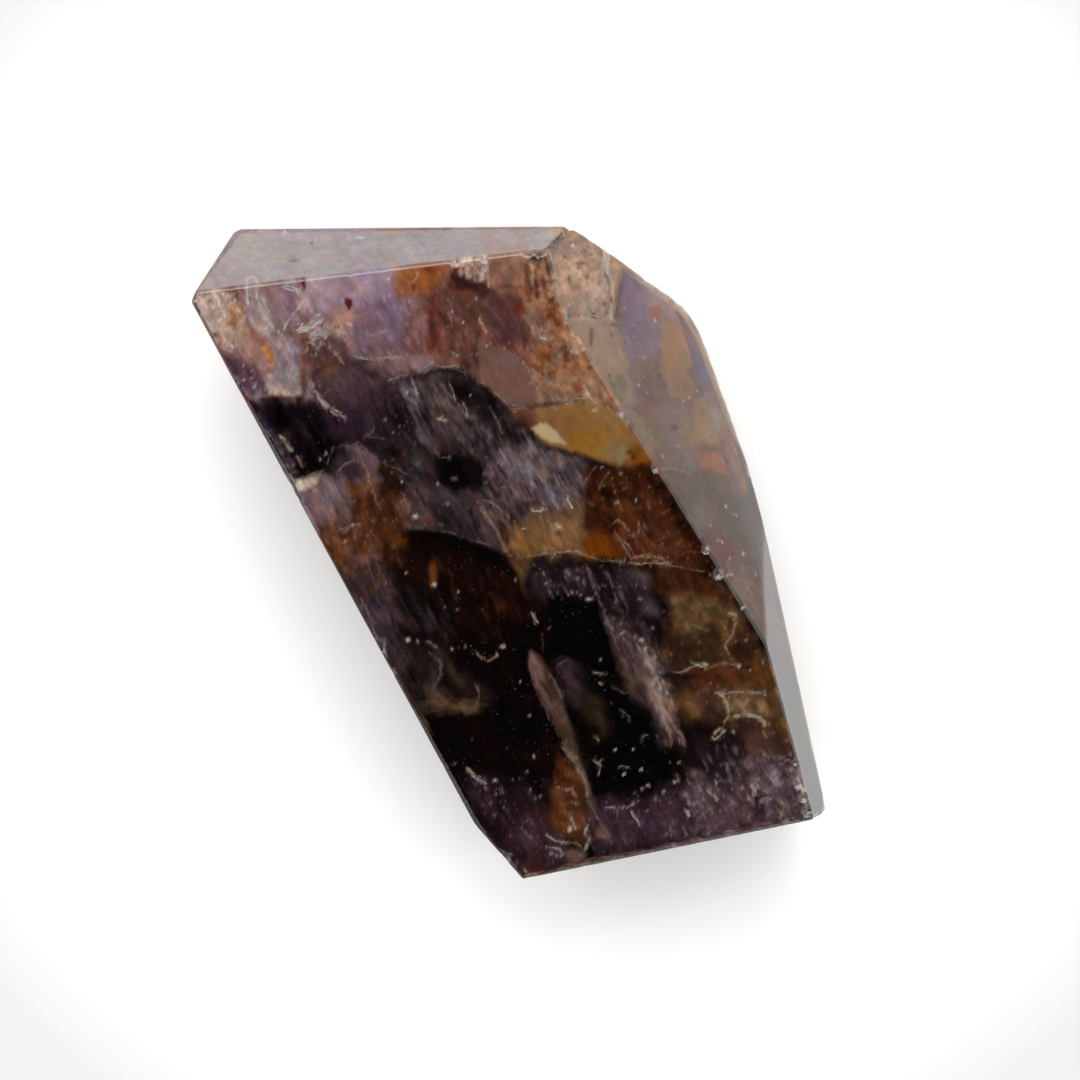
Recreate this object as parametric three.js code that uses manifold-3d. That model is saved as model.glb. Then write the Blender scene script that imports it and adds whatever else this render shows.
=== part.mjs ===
// A polished quartz crystal point, lying on its back.
//
// The stone is one solid. It is shaped the way such a stone is made: flat faces are ground
// off a rough block, one after another. A patch of natural crust stands a little proud of
// the polished faces at one corner of the point.
//
// Frame: millimetres, +Z up, +Y along the crystal's long axis toward the point. The origin
// is the centre of the bounding box's underside, and the stone rests on its flat underside.

import * as THREE from 'three';
import * as BufferGeometryUtils from 'three/addons/utils/BufferGeometryUtils.js';
import Module from 'manifold-3d';

const wasm = await Module();
wasm.setup();

// Overall size
const MAIN_FACE_HEIGHT = 17.5;
const ROUGH_BLOCK_SIDE = 80;

// Each face is given by three values.
// azimuth: where its outward normal points in plan, in degrees from +X toward +Y.
// slope: its tilt in degrees, 0 for a level face, 90 for an upright wall, more for a face
// that leans in under the stone.
// reach: how far from the centre line it crosses the level that its list is drawn at.

// The wide polished face beside the main face, with reach at the main face's level
const SHOULDER = {
  rightShoulder: { azimuth: 1.6, slope: 58, reach: 7 },
};

// The other polished faces above the outline, with reach at the main face's level
const POLISHED_FACES = {
  termination: { azimuth: 66.9, slope: 62, reach: 16 },
  rightFlank: { azimuth: -1.6, slope: 64, reach: 8.05 },
  rightSliver: { azimuth: -15, slope: 74, reach: 10.85 },
};

// Nearly upright walls, which make the outline, with reach at the main face's level
const WALLS = {
  left: { azimuth: 178.5, slope: 97, reach: 13.6 },
  upperLeft: { azimuth: 133.4, slope: 97, reach: 25.15 },
  behindTermination: { azimuth: 57.8, slope: 99, reach: 18.2 },
  pointCorner: { azimuth: 32, slope: 99, reach: 17.3 },
  rightTop: { azimuth: 1, slope: 99, reach: 16 },
  rightMiddle: { azimuth: -13.7, slope: 98, reach: 14.2 },
  rightBottom: { azimuth: -19, slope: 96, reach: 13.9 },
  sawnBase: { azimuth: 251.6, slope: 93, reach: 22.45 },
  baseCorner: { azimuth: 191.2, slope: 94, reach: 16.6 },
};

// Faces that lean in under the stone, with reach at the level of the resting face
const UNDERSIDES = {
  underRight: { azimuth: 0, slope: 124, reach: 10.65 },
  underLeft: { azimuth: 180, slope: 118, reach: 10.4 },
  underTermination: { azimuth: 62, slope: 126, reach: 12.65 },
  underUpperLeft: { azimuth: 128, slope: 122, reach: 18.8 },
};

// Natural crust on the shoulder's upper end, with reach at the main face's level
const CRUST_FACES = {
  crustFace: { azimuth: -15, slope: 55, reach: 4 },
  crustStep: { azimuth: -17.4, slope: 78, reach: 5.65 },
  crustRim: { azimuth: 27, slope: 90, reach: 15.65 },
};

// Turns a closed three.js geometry into a solid
function toSolid(geometry) {
  const bare = geometry.clone();
  bare.deleteAttribute('normal');
  bare.deleteAttribute('uv');
  const merged = BufferGeometryUtils.mergeVertices(bare);
  return new wasm.Manifold(new wasm.Mesh({
    numProp: 3,
    vertProperties: new Float32Array(merged.attributes.position.array),
    triVerts: new Uint32Array(merged.index.array),
  }));
}

// Turns a solid back into a three.js geometry
function toGeometry(solid) {
  const mesh = solid.getMesh();
  const geometry = new THREE.BufferGeometry();
  geometry.setAttribute('position', new THREE.BufferAttribute(mesh.vertProperties, 3));
  geometry.setIndex(new THREE.BufferAttribute(mesh.triVerts, 1));
  return geometry;
}

// The rough block, standing on the resting face and level with the main face
function roughBlock() {
  const block = new THREE.BoxGeometry(ROUGH_BLOCK_SIDE, ROUGH_BLOCK_SIDE, MAIN_FACE_HEIGHT);
  block.translate(0, 0, MAIN_FACE_HEIGHT / 2);
  return toSolid(block);
}

// The waste beyond one face: a block whose near side lies in the face's plane
function wasteBeyond({ azimuth, slope, reach }, level) {
  const turn = THREE.MathUtils.degToRad(azimuth);
  const tilt = THREE.MathUtils.degToRad(slope);
  const outward = new THREE.Vector3(
    Math.sin(tilt) * Math.cos(turn),
    Math.sin(tilt) * Math.sin(turn),
    Math.cos(tilt),
  );
  const onFace = new THREE.Vector3(reach * Math.cos(turn), reach * Math.sin(turn), level);
  const side = 2 * ROUGH_BLOCK_SIDE;
  const waste = new THREE.BoxGeometry(side, side, side);
  waste.translate(0, 0, side / 2);
  waste.applyQuaternion(
    new THREE.Quaternion().setFromUnitVectors(new THREE.Vector3(0, 0, 1), outward),
  );
  waste.translate(onFace.x, onFace.y, onFace.z);
  return toSolid(waste);
}

// Grinds a list of faces off a solid, all drawn at one level
function grind(solid, faces, level) {
  let result = solid;
  for (const face of Object.values(faces)) {
    result = result.subtract(wasteBeyond(face, level));
  }
  return result;
}

// The whole stone. The block gets every face but the shoulder first. One copy of it is
// then ground down to the shoulder, another to the crust's own faces, and the two join.
function quartzPoint() {
  const walled = grind(roughBlock(), WALLS, MAIN_FACE_HEIGHT);
  const undercut = grind(walled, UNDERSIDES, 0);
  const faceted = grind(undercut, POLISHED_FACES, MAIN_FACE_HEIGHT);
  const stone = grind(faceted, SHOULDER, MAIN_FACE_HEIGHT);
  const crust = grind(faceted, CRUST_FACES, MAIN_FACE_HEIGHT);
  return toGeometry(stone.add(crust));
}

// Dark purple-brown, glossy, not metallic
function quartzMaterial() {
  return new THREE.MeshStandardMaterial({
    color: 0x4a3a40,
    roughness: 0.12,
    metalness: 0,
    flatShading: true,
  });
}

const crystal = new THREE.Mesh(quartzPoint(), quartzMaterial());
crystal.name = 'quartz_point';

const model = new THREE.Group();
model.add(crystal);

export default model;
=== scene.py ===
import itertools
import math
import random

import bmesh
import bpy
import numpy as np
from mathutils import Matrix


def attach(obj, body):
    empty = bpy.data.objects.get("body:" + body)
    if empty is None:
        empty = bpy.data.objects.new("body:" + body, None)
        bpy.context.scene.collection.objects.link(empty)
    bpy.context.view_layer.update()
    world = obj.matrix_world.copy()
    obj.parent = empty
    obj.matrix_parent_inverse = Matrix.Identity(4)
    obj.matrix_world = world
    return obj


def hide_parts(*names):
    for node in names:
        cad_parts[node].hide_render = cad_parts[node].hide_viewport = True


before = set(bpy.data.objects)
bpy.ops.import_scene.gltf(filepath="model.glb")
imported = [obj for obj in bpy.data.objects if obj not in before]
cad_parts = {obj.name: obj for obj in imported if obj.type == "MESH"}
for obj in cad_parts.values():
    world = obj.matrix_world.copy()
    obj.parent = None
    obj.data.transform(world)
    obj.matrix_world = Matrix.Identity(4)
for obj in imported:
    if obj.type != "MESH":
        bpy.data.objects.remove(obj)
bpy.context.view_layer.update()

# A polished quartz point, seen from straight above. Shapes are worked out in millimetres and
# in photo pixels, and turned into metres when a mesh is made.
MM = 0.001

# The photo's view: 1080 px a side, 16 px to the millimetre on the main face
PHOTO_SIDE = 1080
PX_PER_MM = 16.0
LONG_AXIS_TURN = math.radians(30)
AIM_OFFSET = (0.615, 2.06)
MAIN_FACE_Z = 17.5
CAMERA_RISE = 420.0
SENSOR_WIDTH = 36.0

# The stone's own sizes, in millimetres
QUARTZ_IOR = 1.544
EDGE_ROUNDING = 0.035
ZONES_BELOW_FACE = 0.5
ZONES_BEHIND_WALL = 0.1
ZONES_WALL_LEAN = 0.05
ZONES_ABOVE_UNDERSIDE = 0.35
SKIN_VOXEL = 0.56
ZONES_VOXEL = 0.535

# The studio: its glow, and a lamp that leans this many degrees from overhead
STUDIO_GLOW = 1.5
LAMP_POWER = 2.2
LAMP_LEAN = 22
LAMP_SIDE = (0.5, 0.866, 0)

# Light that reaches the stone, against a white display, and the share that a face mirrors
# from the floor by its tilt in degrees
LIGHT_ON_STONE = 1.7
GLOSS_BY_TILT = ((0, 40, 58, 62, 64, 74, 90), (0.001, 0.03, 0.105, 0.14, 0.20, 0.42, 0.6))


# Noise, the same on every run

def hashed(cell, seed):
    """A number from 0 to 1 for each row of whole numbers."""
    mixed = np.full(len(cell), (seed * 2654435761) & 0xFFFFFFFF, np.uint32)
    for column, factor in zip(cell.T, (0x8DA6B343, 0xD8163841, 0xCB1AB31F)):
        mixed ^= column.astype(np.uint32) * np.uint32(factor)
        mixed ^= mixed >> np.uint32(13)
        mixed *= np.uint32(0x5BD1E995)
    mixed ^= mixed >> np.uint32(15)
    return mixed / 2.0 ** 32


def bumps(points, size, seed):
    """Smooth noise from 0 to 1 with bumps of the given size. points is (n, 2) or (n, 3)."""
    scaled = points / size
    cell = np.floor(scaled).astype(np.int64)
    part = scaled - cell
    part = part * part * (3 - 2 * part)
    total = np.zeros(len(points))
    for corner in itertools.product((0, 1), repeat=points.shape[1]):
        weight = np.prod(np.where(corner, part, 1 - part), axis=1)
        total += weight * hashed(cell + np.array(corner), seed)
    return total


def ripples(points, size, seed, octaves=3):
    """Layered noise around 0, roughly -1 to 1."""
    total = np.zeros(len(points))
    for octave in range(octaves):
        total += (bumps(points, size / 2 ** octave, seed + octave) - 0.5) / 2 ** octave
    return total * 2 / (2 - 0.5 ** (octaves - 1))


def ease(values, low, high):
    """0 below low, 1 above high, and a smooth climb between."""
    t = np.clip((values - low) / (high - low), 0, 1)
    return t * t * (3 - 2 * t)


# The photo's view

def to_photo(points):
    """Photo position of points in millimetres, in px."""
    shrink = 1 + (MAIN_FACE_Z - points[:, 2]) / CAMERA_RISE
    turn_cos, turn_sin = math.cos(LONG_AXIS_TURN), math.sin(LONG_AXIS_TURN)
    across = points[:, 0] * turn_cos - points[:, 1] * turn_sin + AIM_OFFSET[0]
    up = points[:, 0] * turn_sin + points[:, 1] * turn_cos + AIM_OFFSET[1]
    middle = PHOTO_SIDE / 2
    return np.stack([middle + PX_PER_MM * across / shrink, middle - PX_PER_MM * up / shrink], 1)


def from_photo(pixels, z):
    """The point at height z that shows at each photo position, in millimetres."""
    shrink = 1 + (MAIN_FACE_Z - z) / CAMERA_RISE
    across = (pixels[:, 0] - PHOTO_SIDE / 2) / PX_PER_MM * shrink - AIM_OFFSET[0]
    up = (PHOTO_SIDE / 2 - pixels[:, 1]) / PX_PER_MM * shrink - AIM_OFFSET[1]
    turn_cos, turn_sin = math.cos(LONG_AXIS_TURN), math.sin(LONG_AXIS_TURN)
    z = np.broadcast_to(z, across.shape)
    return np.stack([across * turn_cos + up * turn_sin, up * turn_cos - across * turn_sin, z], 1)


CAMERA_POINT = from_photo(np.array([[PHOTO_SIDE / 2, PHOTO_SIDE / 2]]), MAIN_FACE_Z)[0]
CAMERA_POINT[2] += CAMERA_RISE


def make_camera():
    data = bpy.data.cameras.new("camera")
    data.sensor_width = SENSOR_WIDTH
    data.lens = SENSOR_WIDTH * CAMERA_RISE * PX_PER_MM / PHOTO_SIDE
    data.clip_start = 0.05
    data.clip_end = 20
    camera = bpy.data.objects.new("camera", data)
    camera.location = CAMERA_POINT * MM
    camera.rotation_euler = (0, 0, -LONG_AXIS_TURN)
    bpy.context.scene.collection.objects.link(camera)
    bpy.context.scene.camera = camera


make_camera()


# The stone as a distance field, from the CAD node's flat faces

def flat_faces(node):
    """Outward normals, offsets and areas of a node's flat faces, in millimetres."""
    faces = []
    for polygon in node.data.polygons:
        normal = np.array(polygon.normal)
        offset = normal @ np.array(node.data.vertices[polygon.vertices[0]].co) / MM
        for face in faces:
            if abs(face[1] - offset) < 0.03 and normal @ face[0] > 0.99999:
                face[2] += polygon.area
                break
        else:
            faces.append([normal, offset, polygon.area])
    return [np.array([face[i] for face in faces]) for i in range(3)]


NORMALS, OFFSETS, AREAS = flat_faces(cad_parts["quartz_point"])
CORNERS = np.array([v.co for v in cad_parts["quartz_point"].data.vertices]) / MM
SHARED = (NORMALS @ CORNERS.T - OFFSETS[:, None]).max(1) < 0.03
SHOULDER = int(np.argmax(np.where(SHARED, 0, AREAS)))
CRUST = [i for i in range(len(AREAS)) if not SHARED[i] and i != SHOULDER]
UPWARD = NORMALS[:, 2] > 0.15
DOWNWARD = NORMALS[:, 2] < -0.35
WALL = ~UPWARD & ~DOWNWARD


def smooth_max(values, rounding):
    top = values.max(0)
    return top + rounding * np.log(np.exp((values - top) / rounding).sum(0))


def join_faces(distances, rounding):
    """Distance to the stone from its distance to each face: the shoulder and the crust join."""
    crust = smooth_max(distances[CRUST], rounding)
    shoulder = distances[SHOULDER]
    lower = -smooth_max(np.stack([-crust, -shoulder]), rounding)
    return smooth_max(np.vstack([distances[SHARED], lower]), rounding)


def plain_skin_field(points):
    """Distance to the polished outside, in millimetres, negative inside."""
    return join_faces(NORMALS @ points.T - OFFSETS[:, None], EDGE_ROUNDING)


def zones_field(points):
    """Distance to the body of growth zones, which follows the outside a little way in."""
    inset = np.where(UPWARD, ZONES_BELOW_FACE * NORMALS[:, 2], 0)
    inset = np.where(WALL, ZONES_BEHIND_WALL, inset)
    inset = np.where(DOWNWARD, ZONES_ABOVE_UNDERSIDE, inset)
    distances = NORMALS @ points.T - (OFFSETS - inset)[:, None]
    distances[WALL] += ZONES_WALL_LEAN * (MAIN_FACE_Z - points[:, 2])
    return join_faces(distances, EDGE_ROUNDING)


def slope_of(field, points):
    """The field's gradient, by small steps."""
    step = 0.01
    slope = np.empty_like(points)
    for axis in range(3):
        shift = np.zeros(3)
        shift[axis] = step
        slope[:, axis] = (field(points + shift) - field(points - shift)) / (2 * step)
    return slope


def settle(field, points, rounds=4):
    """Moves points onto the field's zero surface."""
    for _ in range(rounds):
        slope = slope_of(field, points)
        away = field(points) / np.maximum((slope ** 2).sum(1), 1e-6)
        points = points - np.clip(away, -0.6, 0.6)[:, None] * slope
    return points


# Where the camera's rays go

def height_above(points):
    """Height of the polished surface over each point's plan position, and its face."""
    heights = np.full((len(NORMALS), len(points)), np.inf)
    for i in np.flatnonzero(UPWARD):
        nx, ny, nz = NORMALS[i]
        heights[i] = (OFFSETS[i] - nx * points[:, 0] - ny * points[:, 1]) / nz
    shared = heights.copy()
    shared[[SHOULDER] + CRUST] = np.inf
    stone = np.minimum(shared.min(0), heights[SHOULDER])
    face = np.where(heights[SHOULDER] < shared.min(0), SHOULDER, shared.argmin(0))
    crust = np.minimum(shared.min(0), heights[CRUST].min(0))
    for i in CRUST:
        if not UPWARD[i]:
            beyond = NORMALS[i][:2] @ points[:, :2].T > OFFSETS[i]
            crust[beyond] = -np.inf
    on_crust = crust > stone + 0.02
    crust_face = np.array(CRUST)[heights[CRUST].argmin(0)]
    crust_face = np.where(heights[CRUST].min(0) < shared.min(0), crust_face, shared.argmin(0))
    return np.where(on_crust, crust, stone), np.where(on_crust, crust_face, face)


def outside_at(pixels):
    """Where the camera's ray through each photo position meets the stone, and on which face."""
    z = np.full(len(pixels), MAIN_FACE_Z)
    for _ in range(6):
        z, face = height_above(from_photo(pixels, z))
    return from_photo(pixels, z), face


def bent(points, face):
    """Direction of the camera's ray inside the stone, after the face it enters by."""
    ray = points - CAMERA_POINT
    ray /= np.linalg.norm(ray, axis=1)[:, None]
    normal = NORMALS[face]
    cos_in = -(ray * normal).sum(1)[:, None]
    along = (ray + cos_in * normal) / QUARTZ_IOR
    cos_out = np.sqrt(1 - (along ** 2).sum(1))[:, None]
    return along - cos_out * normal, cos_out[:, 0]


def inside_at(pixels, below):
    """The point inside the stone that shows at each photo position, this far under its face."""
    entry, face = outside_at(pixels)
    ray, cos_out = bent(entry, face)
    return entry + ray * (below * NORMALS[face][:, 2] / cos_out)[:, None]


def seen_at(points):
    """Photo position at which points inside the stone show through the face above them."""
    _, face = height_above(points)
    ray, cos_out = bent(points, face)
    deep = OFFSETS[face] - (NORMALS[face] * points).sum(1)
    return to_photo(points - ray * (np.maximum(deep, 0) / cos_out)[:, None])


# Meshes

def even_blank(voxel):
    """A closed copy of the CAD node with an even mesh, in millimetres."""
    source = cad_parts["quartz_point"].data.copy()
    source.transform(Matrix.Scale(1 / MM, 4))
    build = bmesh.new()
    build.from_mesh(source)
    bmesh.ops.remove_doubles(build, verts=build.verts, dist=0.005)
    build.to_mesh(source)
    build.free()
    blank = bpy.data.objects.new("blank", source)
    bpy.context.scene.collection.objects.link(blank)
    even = blank.modifiers.new("even", "REMESH")
    even.mode = "VOXEL"
    even.voxel_size = voxel
    graph = bpy.context.evaluated_depsgraph_get()
    mesh = bpy.data.meshes.new_from_object(blank.evaluated_get(graph))
    bpy.data.objects.remove(blank)
    return mesh


def coordinates(mesh):
    flat = np.empty(len(mesh.vertices) * 3)
    mesh.vertices.foreach_get("co", flat)
    return flat.reshape(-1, 3)


def set_coordinates(mesh, points):
    mesh.vertices.foreach_set("co", points.ravel())
    mesh.update()


def refine(mesh, chosen, cuts):
    """Splits the faces whose centre passes the test into smaller ones."""
    build = bmesh.new()
    build.from_mesh(mesh)
    build.faces.ensure_lookup_table()
    centres = np.array([face.calc_center_median() for face in build.faces])
    normals = np.array([face.normal for face in build.faces])
    keep = chosen(centres, normals)
    edges = {edge for i in np.flatnonzero(keep) for edge in build.faces[i].edges}
    edges = sorted(edges, key=lambda edge: edge.index)
    bmesh.ops.subdivide_edges(build, edges=edges, cuts=cuts, use_grid_fill=True)
    bmesh.ops.triangulate(build, faces=[face for face in build.faces if len(face.verts) > 4])
    build.to_mesh(mesh)
    build.free()


def add_values(mesh, name, values):
    """Stores one number or one colour per vertex for the material to read."""
    values = np.asarray(values, float)
    if values.ndim == 1:
        layer = mesh.attributes.new(name, "FLOAT", "POINT")
        layer.data.foreach_set("value", values.astype(np.float32))
    else:
        layer = mesh.attributes.new(name, "FLOAT_COLOR", "POINT")
        rgba = np.concatenate([values, np.ones((len(values), 1))], 1)
        layer.data.foreach_set("color", rgba.astype(np.float32).ravel())


def make_piece(name, mesh, material):
    """Turns a finished mesh in millimetres into a piece of the stone."""
    mesh.name = name
    mesh.transform(Matrix.Scale(MM, 4))
    mesh.materials.clear()
    mesh.materials.append(material)
    mesh.polygons.foreach_set("use_smooth", [True] * len(mesh.polygons))
    piece = bpy.data.objects.new(name, mesh)
    bpy.context.scene.collection.objects.link(piece)
    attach(piece, "root")
    return piece


# Colours, as they look in the photo

SILVER = (181, 170, 168)
SILVER_TAN = (181, 159, 146)
CRUST_TAN = (170, 134, 110)
PINK_BROWN = (118, 83, 81)
ROSE = (131, 103, 104)
PLUM = (76, 49, 56)
LILAC = (138, 108, 118)
PALE_LILAC = (155, 129, 133)
RUST = (138, 78, 44)
UMBER = (58, 27, 19)
SAND_BROWN = (136, 96, 77)
MAUVE_BROWN = (106, 67, 57)
PURPLE_BROWN = (84, 50, 47)
SHELL = (103, 71, 60)
UNDER_TAN = (140, 99, 72)
DUSK = (38, 26, 32)
BLACK = (5, 2, 3)
CHAR = (24, 15, 17)
SMOKE = (62, 47, 49)
VEIL_GREY = (84, 70, 73)
GOLD = (130, 91, 50)
BRIGHT_GOLD = (141, 93, 34)
MOSS = (122, 102, 66)
AMBER = (122, 68, 24)
CREAM = (190, 154, 108)
MILK = (109, 84, 89)
HONEY = (112, 77, 48)
ORANGE = (104, 50, 6)
BARK = (46, 20, 8)
COCOA = (66, 35, 20)
NIGHT = (20, 11, 15)
OLIVE = (80, 55, 33)
DOME_BROWN = (66, 44, 36)
MAUVE = (82, 58, 63)
GREY_MAUVE = (88, 71, 73)
DEEP_PURPLE = (42, 26, 33)
RED_BROWN = (112, 52, 34)
SHOULDER_GREY = (112, 96, 88)
SLIVER_GREY = (172, 162, 156)
WHITE = (226, 216, 206)
PALE = (188, 168, 156)
BONE = (208, 184, 150)
DULL = (122, 106, 104)
PINKISH = (164, 126, 114)

# The main face's outline in the photo
MAIN_OUTLINE = [
    (190, 300), (194, 293), (280, 282), (547, 249), (566, 320), (606, 385), (767, 647),
    (805, 821), (523, 879), (474, 823),
]

# The other faces, a little past their outlines

TIP_FACE = [(150, 300), (190, 293), (280, 282), (547, 249), (564, 233), (568, 200), (200, 200)]
CRUST_PATCH = [(547, 249), (564, 233), (568, 200), (640, 200), (614, 320), (566, 320)]
SHOULDER_FACE = [
    (566, 320), (606, 385), (767, 647), (764.5, 585), (725, 461), (684, 334), (676, 305),
    (690, 290), (640, 200), (614, 320),
]
FLANK_FACE = [
    (690, 290), (676, 305), (684, 334), (725, 461), (764.5, 585), (764, 519), (790, 500),
    (760, 380), (720, 280),
]
SLIVER_FACE = [(764, 519), (764.5, 585), (767, 647), (812, 815), (812, 860), (880, 860), (800, 500)]

# Painted highlights where the main face's bottom and left edges catch the light
BOTTOM_EDGE_HIGHLIGHT = [(524, 876), (700, 840), (803, 818)]
LEFT_EDGE_HIGHLIGHT = [(300, 504), (392, 672), (475, 820)]

# What a painted point holds besides its colour: how deep the zone lies, in millimetres, and
# how strongly the material's veils, iron clouds, mottling and white flecks show there
MARKS = ("depth", "veil", "iron", "mottle", "fleck")

# The painted points are sorted into square cells, in px, and shapes stray from their
# outlines by up to the sways
CELL = 12
CELLS_ACROSS = PHOTO_SIDE // CELL
GROWTH_WAY = np.array([math.cos(math.radians(60)), math.sin(math.radians(60))])
SWAY = 2
LARGE_SWAY = 14

# Sizes and seeds, in px, of the uneven shifts: wandering, wavering and jittering
SHIFTS = ((34, 21), (12, 61), (5, 41))


def edge_distance(pixels, outline):
    """Distance to an outline in px, positive inside it."""
    u, v = pixels.T
    inside = np.zeros(len(u), bool)
    nearest = np.full(len(u), np.inf)
    for (u0, v0), (u1, v1) in zip(outline, outline[1:] + outline[:1]):
        du, dv = u1 - u0, v1 - v0
        along = np.clip(((u - u0) * du + (v - v0) * dv) / (du * du + dv * dv), 0, 1)
        nearest = np.minimum(nearest, np.hypot(u - u0 - along * du, v - v0 - along * dv))
        if dv:
            inside ^= ((v0 > v) != (v1 > v)) & (u < du * (v - v0) / dv + u0)
    return np.where(inside, nearest, -nearest)


def streaks(pixels, reach):
    """Shifts along the way that the crystal grew, alike along a streak and not across it."""
    along = pixels @ GROWTH_WAY
    across = pixels @ np.array([-GROWTH_WAY[1], GROWTH_WAY[0]])
    bands = ripples(np.stack([across / 3, along / 24], 1), 1.5, 11)
    return reach * bands[:, None] * GROWTH_WAY


class Canvas:
    """Points at photo positions, on which colours and marks are laid one over another."""

    def __init__(self, pixels):
        wander, waver, jitter = (
            np.stack([ripples(pixels, size, seed), ripples(pixels, size, seed + 10)], 1)
            for size, seed in SHIFTS
        )
        self.pixels = pixels
        self.rough = pixels + 7 * wander + 5 * waver + 2.5 * jitter + streaks(pixels, 3)
        self.fine = pixels + 1.0 * waver + 0.9 * jitter
        self.colour = np.tile(np.array(BLACK, float), (len(pixels), 1))
        self.marks = {name: np.zeros(len(pixels)) for name in MARKS}
        faces = {
            "tip": TIP_FACE,
            "crust": CRUST_PATCH,
            "shoulder": SHOULDER_FACE,
            "flank": FLANK_FACE,
            "sliver": SLIVER_FACE,
        }
        self.faces = {name: edge_distance(pixels, outline) > 0 for name, outline in faces.items()}
        self.faces["main"] = ~np.any(list(self.faces.values()), axis=0)
        self.face = self.faces["main"]
        cells = np.clip(pixels // CELL, 0, CELLS_ACROSS - 1).astype(int)
        cells = cells[:, 1] * CELLS_ACROSS + cells[:, 0]
        self.order = np.argsort(cells, kind="stable")
        self.starts = np.searchsorted(cells[self.order], np.arange(CELLS_ACROSS ** 2 + 1))

    def on(self, face):
        """Keeps what follows to one face of the stone."""
        self.face = self.faces[face]

    def everywhere(self):
        self.face = np.ones(len(self.pixels), bool)

    def near(self, places, margin):
        """The points of the present face in the cells within a margin of some places."""
        margin += SWAY
        low = np.clip((np.min(places, 0) - margin) // CELL, 0, CELLS_ACROSS - 1).astype(int)
        high = np.clip((np.max(places, 0) + margin) // CELL, 0, CELLS_ACROSS - 1).astype(int)
        rows = [
            self.order[self.starts[row + low[0]]:self.starts[row + high[0] + 1]]
            for row in range(low[1] * CELLS_ACROSS, (high[1] + 1) * CELLS_ACROSS, CELLS_ACROSS)
        ]
        chosen = np.concatenate(rows)
        return chosen[self.face[chosen]]

    def lay(self, chosen, weight, colour, marks):
        if colour is not None:
            self.colour[chosen] += weight[:, None] * (np.array(colour) - self.colour[chosen])
        for name, value in marks.items():
            layer = self.marks[name]
            layer[chosen] += weight * (value - layer[chosen])

    def area(self, outline, colour=None, soft=9, amount=1, firm=False, **marks):
        """A patch with a soft, ragged edge, or with a firm one that keeps to its outline."""
        places = self.fine if firm else self.rough
        soft = soft if firm else 4 + 1.5 * soft
        chosen = self.near(outline, soft + (0 if firm else LARGE_SWAY))
        inside = edge_distance(places[chosen], outline)
        self.lay(chosen, amount * ease(inside, -soft / 2, soft / 2), colour, marks)

    def line(self, path, width, colour=None, amount=1, soft=1.4, **marks):
        """A line that thins out at both ends."""
        chosen = self.near(path, width + soft)
        u, v = self.fine[chosen].T
        nearest = np.full(len(u), np.inf)
        lengths = [math.dist(a, b) for a, b in zip(path, path[1:])]
        total, run = sum(lengths), 0
        for (u0, v0), (u1, v1), length in zip(path, path[1:], lengths):
            along = np.clip(((u - u0) * (u1 - u0) + (v - v0) * (v1 - v0)) / length ** 2, 0, 1)
            off = np.hypot(u - u0 - along * (u1 - u0), v - v0 - along * (v1 - v0))
            share = (run + along * length) / total
            half = width / 2 * np.minimum(1, 0.35 + 5 * np.minimum(share, 1 - share))
            nearest = np.minimum(nearest, off - half)
            run += length
        patchy = 0.65 + 0.35 * ripples(self.pixels[chosen], 9, 12)
        self.lay(chosen, amount * patchy * (1 - ease(nearest, -soft / 2, soft / 2)), colour, marks)

    def spot(self, place, size, colour=None, turn=0, amount=1, soft=0.5, **marks):
        """A rounded spot. size is one radius, or one along and one across its turn."""
        long, short = size if isinstance(size, tuple) else (size, size)
        chosen = self.near([place], (1 + soft) * max(long, short))
        offset = self.fine[chosen] - place
        turn = math.radians(turn)
        along = (offset[:, 0] * math.cos(turn) + offset[:, 1] * math.sin(turn)) / long
        across = (offset[:, 1] * math.cos(turn) - offset[:, 0] * math.sin(turn)) / short
        weight = 1 - ease(np.hypot(along, across), 1 - soft, 1 + soft)
        self.lay(chosen, amount * weight, colour, marks)

    def scatter(self, outline, count, draw, seed):
        """Calls draw(place, chance) at random places inside an outline."""
        chance = random.Random(seed)
        low, high = np.min(outline, 0), np.max(outline, 0)
        tried = np.array([
            (chance.uniform(low[0], high[0]), chance.uniform(low[1], high[1]))
            for _ in range(count * 6)
        ])
        gathered = bumps(tried, 34, seed + 100) > [chance.uniform(0.25, 0.75) for _ in tried]
        inside = edge_distance(tried, outline) > 0
        for place in tried[inside & gathered][:count]:
            draw(tuple(place), chance)

    def dots(self, outline, count, colours, seed, small=0.8, large=2.2, amount=0.8):
        """Small random spots."""
        def draw(place, chance):
            size = (chance.uniform(small, large), chance.uniform(small, large) * 0.75)
            colour = colours[chance.randrange(len(colours))]
            self.spot(place, size, colour, chance.uniform(0, 180), chance.uniform(0.4, 1) * amount)
        self.scatter(outline, count, draw, seed)

    def strands(self, outline, count, colours, seed, length=26, width=2, turn=62, amount=0.5):
        """Random streaks that all run much the same way."""
        def draw(place, chance):
            way = math.radians(turn + chance.gauss(0, 5))
            reach = length * chance.uniform(0.3, 1)
            bend = chance.uniform(-0.12, 0.12) * reach
            du, dv = math.cos(way), math.sin(way)
            path = [
                (place[0] + s * reach * du - b * bend * dv, place[1] + s * reach * dv + b * bend * du)
                for s, b in ((-0.5, 0), (-0.15, 0.8), (0.2, 0.9), (0.5, 0))
            ]
            colour = colours[chance.randrange(len(colours))]
            strength = min(1, amount * chance.uniform(0.3, 1.3))
            self.line(path, width * chance.uniform(0.4, 1.3), colour, strength, soft=2.4)
        self.scatter(outline, count, draw, seed)

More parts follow.
